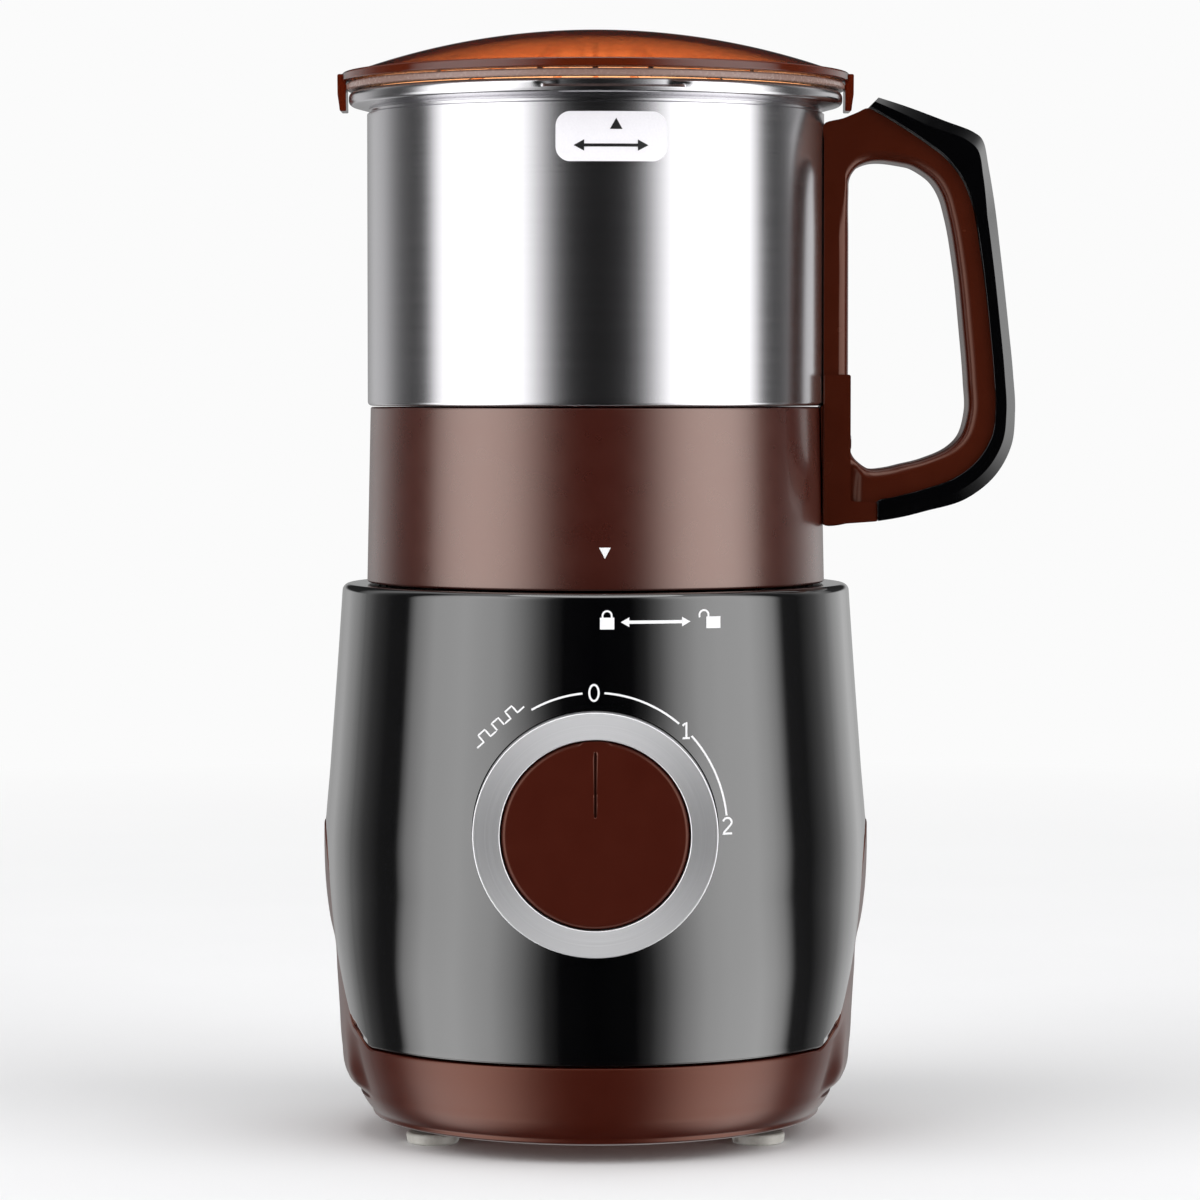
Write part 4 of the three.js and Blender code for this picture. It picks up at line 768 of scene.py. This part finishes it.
def lidParts():
    # the dome turned from its outer and inner line, a ring round its foot, straight ribs under it whose tops
    # follow it at their own radius, a hook of one outline at each side, and the seal
    sealLow, sealHigh = heightsOf("lid_seal")
    low = sealHigh + lid["brimGap"]
    flange, dome, wall, touch = (lid[key] for key in ("flangeRadius", "domeRadius", "wall", "touch"))
    outR = np.linspace(0, dome, 40)
    inR = np.linspace(dome - wall, 0, 40)
    outside = np.stack([outR, domeHeight(outR)], -1)
    inside = np.stack([inR, domeHeight(inR, wall)], -1)
    brim = rounded([
        (dome, outside[-1, 1], 0.2), (dome, low, 0.2), (dome - wall, low, 0.2),
        (dome - wall, inside[0, 1], 0.4),
    ], closed=False)
    profile = np.vstack([outside[:-1], brim, inside[1:]])
    dress(turnedPiece("lidDome", profile, closed=False), "lid", "amber_clear", "lid")
    near, high = dome + touch, low + lid["brimHeight"]
    section = rounded([(near, low, 0.3), (flange, low, 0.5), (flange, high, 0.5), (near, high, 0.2)])
    # the brim wears the darker amber copy, painted shade over its deeper plastic
    dress(turnedPiece("lidBrim", section), "lid", "amber_clear", look="amberDeepShade")

    for i, degrees in enumerate(lid["ribAngles"]):
        c, s = math.cos(math.radians(degrees)), math.sin(math.radians(degrees))
        r = np.linspace(lid["ribStart"], dome - wall - 0.3, 40)
        topZ = domeHeight(r, wall + touch)
        half, depth = lid["ribWidth"] / 2, lid["ribDepth"]
        corners = [(-half, 0), (half, 0), (half, -depth), (-half, -depth)]
        rows = np.stack([
            np.stack([r * c - side * s, r * s + side * c, topZ + drop], -1) for side, drop in corners
        ], 1)
        dress(barPiece(f"lidRib{i}", rows), "lid", "amber_clear")

    half, bottom = lid["hookHalfWidth"], heightsOf("lid")[0]
    tip = [(x, bottom, radius) for x, radius in lid["hookTip"]]
    down, up = ([(x, low + z, radius) for x, z, radius in lid[key]] for key in ("hookInside", "hookOutside"))
    outline = rounded(down + tip + up, steps=5)
    for side, word in ((-1, "Left"), (1, "Right")):
        rows = np.stack([atDepth(outline * [side, 1], y) for y in (-half, half)])
        # each hook wears the darker amber copy, painted shade over its deeper plastic
        dress(barPiece("lidHook" + word, rows), "lid", "amber_clear", look="amberDeepShade")

    near, far = lid["sealRadii"]
    section = rounded([
        (near, sealLow, 0.3), (far, sealLow, 0.6), (far, sealHigh, 0.6), (near, sealHigh, 0.3),
    ])
    dress(turnedPiece("lidSeal", section), "lid_ring", "pale_rubber", "lid_seal", look="sealRubber")


# print: thin raised strokes laid on the curved surfaces

ink = {
    "height": 0.07,
    "sunk": 0.02,  # how far a stroke reaches into the surface under it
    "line": 0.46, "digitHeight": 4.0,
    "dialRadius": 32.5, "dialNarrowing": 0.94,
    "arcs": ((-28.8, -5.6), (3.9, 39.2), (46.6, 83.4)),  # degrees clockwise from the dial's top
    "digitPlaces": (("zero", -0.6), ("one", 43.2), ("two", 87.6)),
    "wavePlace": -42,
    "waveOut": 1.2,  # beyond the dial's circle
    "waveSize": (2.1, 2.0),  # mm of half a beat and of its height
    "waveLine": 0.38,
    "lockZ": 127.0,
    "locks": (("lock", 2.7, 2.7), ("open", 27.3, 25.1)),  # x of the body and of the bow
    "lockHalf": 1.65, "lockHeight": 2.7, "bowRadius": 1.05, "bowLine": 0.42,
    "turnLine": 0.75, "turnHead": 2.2, "arrowTip": 0.05,
}
label = {
    "centre": 3.7, "half": 12.9, "low": 233.1, "high": 244.6, "corner": 3.4,
    "pointerX": 4.8, "barZ": 236.8, "barLine": 0.7, "head": 2.6,
}


def bentOn(radiusAt):
    # a print surface: y is minus the root of the squared radius at that level less x squared
    def surface(u, v, lift):
        return np.stack([u, -np.sqrt((radiusAt(v) + lift) ** 2 - u**2), v], -1)

    return surface


onShell = bentOn(shellRadius)
onSkirt = bentOn(lambda z: skirtRadius(z) + 0.02)
onCup = bentOn(lambda z: cup["vesselRadius"])


def stroke(name, surface, points, width, body, slot, look, lift=0.0, step=0.6):
    # a band of a given width along a line of (x, z) points, bent on to a surface: at each step its seven
    # columns stand to the side of the line, at right angles to its own direction there
    points = np.asarray(points, float)
    width = np.broadcast_to(np.asarray(width, float), len(points))
    runs = np.linalg.norm(np.diff(points, axis=0), axis=1)
    along = np.concatenate([[0], np.cumsum(runs)])
    count = max(2, int(along[-1] / step) + 1)
    t = np.unique(np.round(np.concatenate([np.linspace(0, along[-1], count), along]), 5))
    u, v, w = (np.interp(t, along, values) for values in (points[:, 0], points[:, 1], width))
    du, dv = np.gradient(u, t), np.gradient(v, t)
    norm = np.hypot(du, dv)
    nu, nv = -dv / norm, du / norm
    across = np.linspace(-0.5, 0.5, 7)
    over = [surface(u + nu * w * a, v + nv * w * a, lift + ink["height"]) for a in across]
    under = [surface(u + nu * w * a, v + nv * w * a, lift - ink["sunk"]) for a in across[::-1]]
    rows = np.stack(over + under, 1)
    dress(barPiece(name, rows), body, slot, look=look)


def ringArc(fromDegrees, toDegrees, radius, count=40):
    # degrees clockwise from the dial's top, on a circle a little narrower than high, as the shell curves away
    angle = np.radians(np.linspace(fromDegrees, toDegrees, count))
    return np.stack([radius * ink["dialNarrowing"] * np.sin(angle), dialZ + radius * np.cos(angle)], -1)


def digits():
    # lines of (x, z) for a digit 1 high: an ellipse, straight runs, and an arc that ends in straight runs
    t = np.linspace(0, 2 * np.pi, 41)
    zero = [np.stack([0.27 * np.sin(t), 0.46 * np.cos(t)], -1)]
    one = [[(-0.2, 0.26), (0.02, 0.44), (0.02, -0.46)], [(-0.2, -0.46), (0.22, -0.46)]]
    bowl = np.radians(np.linspace(165, -35, 16))
    top = np.stack([0.25 * np.cos(bowl), 0.2 + 0.25 * np.sin(bowl)], -1)
    two = [np.vstack([top, [[-0.26, -0.45], [0.28, -0.45]]])]
    return {"zero": zero, "one": one, "two": two}


def shellPrint():
    def put(name, points, width=ink["line"], **more):
        stroke(name, onShell, points, width, "base", "moulded_white", "whiteInk", **more)

    radius, tip = ink["dialRadius"], ink["arrowTip"]
    for i, (start, end) in enumerate(ink["arcs"]):
        put(f"dialArc{i}", ringArc(start, end, radius))
    shapes = digits()
    for name, degrees in ink["digitPlaces"]:
        centre = ringArc(degrees, degrees, radius, 1)[0]
        for i, points in enumerate(shapes[name]):
            put(f"digit{name.title()}{i}", np.asarray(points, float) * ink["digitHeight"] + centre)
    # a plain pulse wave stands at the third position, along the circle's tangent there
    beats, tall = ink["waveSize"]
    along = np.repeat([-3.5, -2.5, -1.5, -0.5, 0.5, 1.5, 2.5, 3.5], [1] + [2] * 6 + [1]) * beats
    out = radius + ink["waveOut"] + (np.array([0, 0, 1, 1] * 3 + [0, 0]) - 0.5) * tall
    s, c = math.sin(math.radians(ink["wavePlace"])), math.cos(math.radians(ink["wavePlace"]))
    put("pulseMark", np.stack([out * s + along * c, dialZ + out * c - along * s], -1), ink["waveLine"])
    # a shut and an open padlock, and an arrow between them
    z, half, bowRadius = ink["lockZ"], ink["lockHalf"], ink["bowRadius"]
    bow = np.radians(np.linspace(180, 0, 13))
    for word, bodyX, bowX in ink["locks"]:
        put(word + "Body", [(bodyX - half, z - 0.3), (bodyX + half, z - 0.3)], ink["lockHeight"])
        top = np.stack([bowX + bowRadius * np.cos(bow), z + 1.5 + bowRadius * np.sin(bow)], -1)
        put(word + "Bow", np.vstack([top[0] - [0, 0.6], top, top[-1] - [0, 0.6]]), ink["bowLine"], step=0.3)
    put("turnArrow", [(7.1, z), (20.7, z)], ink["turnLine"])
    for word, start, end in (("Left", 5.9, 7.8), ("Right", 21.9, 20.0)):
        put("turnArrow" + word, [(start, z), (end, z)], [tip, ink["turnHead"]], step=0.3)


def cupMarks():
    def mark(name, points, width, **more):
        stroke(name, onCup, points, width, "cup", "black_rubber", "blackInk", ink["height"], **more)

    tip = ink["arrowTip"]
    pointer = [(2.2, 143.95), (2.2, 141.4)]
    stroke("skirtPointer", onSkirt, pointer, [2.7, tip], "cup", "moulded_white", "whiteInk", step=0.3)
    # the label is one wide stroke whose width dips by a quarter circle towards each end
    half, corner, low, high = (label[key] for key in ("half", "corner", "low", "high"))
    reach = np.linspace(-1, 1, 61)
    u = np.sign(reach) * (1 - (1 - np.abs(reach)) ** 1.6) * half
    fromEnd = half - np.abs(u)
    dip = corner - np.sqrt(np.maximum(corner**2 - np.maximum(corner - fromEnd, 0) ** 2, 0))
    line = np.stack([label["centre"] + u, np.full(len(u), (low + high) / 2)], -1)
    stroke("cupLabel", onCup, line, high - low - 2 * dip, "cup", "moulded_white", "label", step=2)
    x, z = label["pointerX"], label["barZ"]
    mark("labelPointer", [(x, 243.0), (x, 240.5)], [tip, 2.9], step=0.3)
    mark("labelArrow", [(-3.4, z), (10.6, z)], label["barLine"])
    for word, start, end in (("Left", -5.0, -2.6), ("Right", 12.2, 9.8)):
        mark("labelArrow" + word, [(start, z), (end, z)], [tip, label["head"]], step=0.3)


# feet and inner pieces

foot = {"radii": (6.1, 6.5), "height": 2.7}


def feet():
    # short turned pads that widen a little upwards
    for name in ("foot_front_left", "foot_front_right", "foot_back_left", "foot_back_right"):
        low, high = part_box(name)
        centre = (low + high) / 2 / mm
        (below, above), top = foot["radii"], foot["height"]
        section = rounded([(0, 0, 0), (below, 0, 0.8), (above, top, 0.7), (0, top, 0)], closed=False)
        points = turned(section, 64) + [centre.x - axisX / mm, centre.y - axisY / mm, 0]
        dress(gridPiece(name.replace("_", "."), points, wrapRows=True), "base", "pale_rubber", name)


def finishCadNodes():
    for row in frame["record"]["subparts"]:
        node = nodes[row["node"]]
        node.data.materials.clear()
        node.data.materials.append(finishes[row["material_slot"]])
        if not node.hide_render:
            smoothSharp(node, 30)


# studio

studio = {
    "distance": 1122.2, "sideways": 1.06, "height": 181.7,  # of the camera from the grinder's axis
    "pitch": 2.676,  # degrees down
    "focalPx": 4614.0,
    "topWatts": 8.0, "topSize": 1.2,
    "topPlace": (0.25, 1.5),  # m towards the camera from the axis, and up
    "panelStrength": 3.0,
    "wallColour": "#fbfbfb", "wallThroughLid": 2.4,
    "floorHalf": 3.0,
    "floorFade": (0.25, 1.1),  # m from the grinder over which the floor turns into the wall
    # ranges of the direction's upward part, and for the second its backward part, over which each comes in
    "leanRange": (-0.7, -0.15), "leanShare": 0.75,
    "behindRange": (0.55, 0.75),
    "highRange": (0.08, 0.16), "highBehindDark": 0.94,
    "belowRange": (-0.92, -0.78), "belowLevel": 0.02,
    "overheadRange": (0.72, 0.9), "overheadLevel": 0.3,
    # degrees round from the camera's side, towards +X, and the share of the panels' brightness there
    "bands": [
        (-180, 0.1), (-160, 0.15), (-148, 0.24), (-134, 0.22), (-116, 0.06), (-104, 0.018), (-93, 0.016),
        (-87, 0.45), (-76, 0.85), (-60, 1.0), (-43, 0.84), (-34, 0.55), (-26, 0.24), (-20, 0.06),
        (-14, 0.005), (0, 0.001), (16, 0.004), (22, 0.05), (28, 0.22), (36, 0.58), (46, 0.9), (56, 1.0),
        (72, 1.0), (80, 0.78), (86, 0.5), (92, 0.025), (103, 0.018), (116, 0.09), (134, 0.28), (148, 0.3),
        (160, 0.18), (180, 0.1),
    ],
}


def camera():
    data = bpy.data.cameras.new("camera")
    data.sensor_width = 36.0
    data.lens = studio["focalPx"] / photoSize * data.sensor_width
    data.clip_start, data.clip_end = 0.05, 20
    made = inScene("camera", data)
    made.location = (axisX + studio["sideways"] * mm, axisY - studio["distance"] * mm, studio["height"] * mm)
    made.rotation_euler = (math.radians(90 - studio["pitch"]), 0, 0)
    bpy.context.scene.camera = made


def floorPlane():
    half = studio["floorHalf"]
    mesh = bpy.data.meshes.new("floor")
    corners = [(-half, -half, 0), (half, -half, 0), (half, half, 0), (-half, half, 0)]
    mesh.from_pydata(corners, [], [(0, 1, 2, 3)])
    made = inScene("floor", mesh)
    material, tree, shader, output = newMaterial("paperFloor", Roughness=0.7)
    mottle = mixOf(tree, noiseOn(tree, 120, detail=2), "#e9e9ea", "#efeff0")
    tree.links.new(mottle, shader.inputs["Base Color"])
    # far from the object the paper curves up into the wall, so there it shows the wall's own level
    coordinates = addNode(tree, "ShaderNodeTexCoord").outputs["Object"]
    distance = addNode(tree, "ShaderNodeVectorMath", {0: coordinates}, operation="LENGTH").outputs["Value"]
    far = ramp(tree, distance, *studio["floorFade"], 0, 1)
    wall = addNode(tree, "ShaderNodeEmission", {"Color": linear(studio["wallColour"]), "Strength": 1.0})
    joined = addNode(tree, "ShaderNodeMixShader", {0: far, 1: shader.outputs[0], 2: wall.outputs[0]})
    tree.links.new(joined.outputs[0], output.inputs["Surface"])
    mesh.materials.append(material)
    made.visible_glossy = False  # the panels reach lower than the floor, so the shell mirrors them and not it


def glowOf(tree, colour, strength):
    return addNode(tree, "ShaderNodeBackground", {"Color": colour, "Strength": strength}).outputs[0]


def studioLight():
    # a pale room lit by two tall soft panels: soft towards the camera, sharp where they end behind the object
    world = bpy.data.worlds.new("studio")
    bpy.context.scene.world = world
    world.use_nodes = True
    tree = world.node_tree
    tree.nodes.clear()
    direction = addNode(tree, "ShaderNodeTexCoord").outputs["Generated"]
    sideways, backwards, upwards = addNode(tree, "ShaderNodeSeparateXYZ", {0: direction}).outputs
    turn = mathOf(tree, "ARCTAN2", sideways, mathOf(tree, "MULTIPLY", backwards, -1.0))
    # below the horizon the panels stand wider apart, as if they leant outwards towards the floor
    lean = ramp(tree, upwards, *studio["leanRange"], studio["leanShare"], 1.0)
    spread = mathOf(tree, "MULTIPLY", turn, lean)
    bands = addNode(tree, "ShaderNodeValToRGB", {"Fac": ramp(tree, spread, -math.pi, math.pi, 0, 1)})
    elements = bands.color_ramp.elements
    elements.remove(elements[-1])
    for i, (degrees, level) in enumerate(studio["bands"]):
        place = (degrees + 180) / 360
        stop = elements[0] if i == 0 else elements.new(place)
        stop.position = place
        stop.color = (level, level, level, 1)
    # dark high behind the object, which the lid mirrors, and dark straight below it
    behind = ramp(tree, backwards, *studio["behindRange"], 0, 1)
    high = ramp(tree, upwards, *studio["highRange"], 0, studio["highBehindDark"])
    clear = mathOf(tree, "SUBTRACT", 1.0, mathOf(tree, "MULTIPLY", behind, high))
    below = ramp(tree, upwards, *studio["belowRange"], studio["belowLevel"], 1)
    level = mathOf(tree, "MULTIPLY", bands.outputs["Color"], mathOf(tree, "MULTIPLY", clear, below))
    overhead = ramp(tree, upwards, *studio["overheadRange"], 0, 1)
    ends = {"Factor": overhead, "A": level, "B": [studio["overheadLevel"]] * 3 + [1]}
    lit = addNode(tree, "ShaderNodeMix", ends, data_type="RGBA")
    # the wall behind is plain and pale, and bright enough to glow through the amber lid
    path = addNode(tree, "ShaderNodeLightPath").outputs
    glow = path["Is Transmission Ray"]
    seen = mathOf(tree, "MAXIMUM", path["Is Camera Ray"], glow)
    wallLevel = ramp(tree, glow, 0, 1, 1.0, studio["wallThroughLid"])
    panels = glowOf(tree, lit.outputs["Result"], studio["panelStrength"])
    wall = glowOf(tree, linear(studio["wallColour"]), wallLevel)
    both = addNode(tree, "ShaderNodeMixShader", {0: seen, 1: panels, 2: wall})
    addNode(tree, "ShaderNodeOutputWorld", {"Surface": both.outputs[0]})
    data = bpy.data.lights.new("topSoftbox", "AREA")
    data.shape, data.size, data.energy = "DISK", studio["topSize"], studio["topWatts"]
    forwards, up = studio["topPlace"]
    inScene("topSoftbox", data).location = (axisX, axisY - forwards, up)
    bpy.context.scene.view_settings.view_transform = "Standard"


camera()
upperHousing()
print("upper housing made")
lowerHousing()
print("lower housing made")
dialBezel()
knob()
print("dial made")
cupSkirt()
steelCup()
print("cup made")
handleParts()
print("handle made")
lidParts()
print("lid made")
shellPrint()
cupMarks()
print("print made")
feet()
finishCadNodes()
floorPlane()
studioLight()
print("studio made")
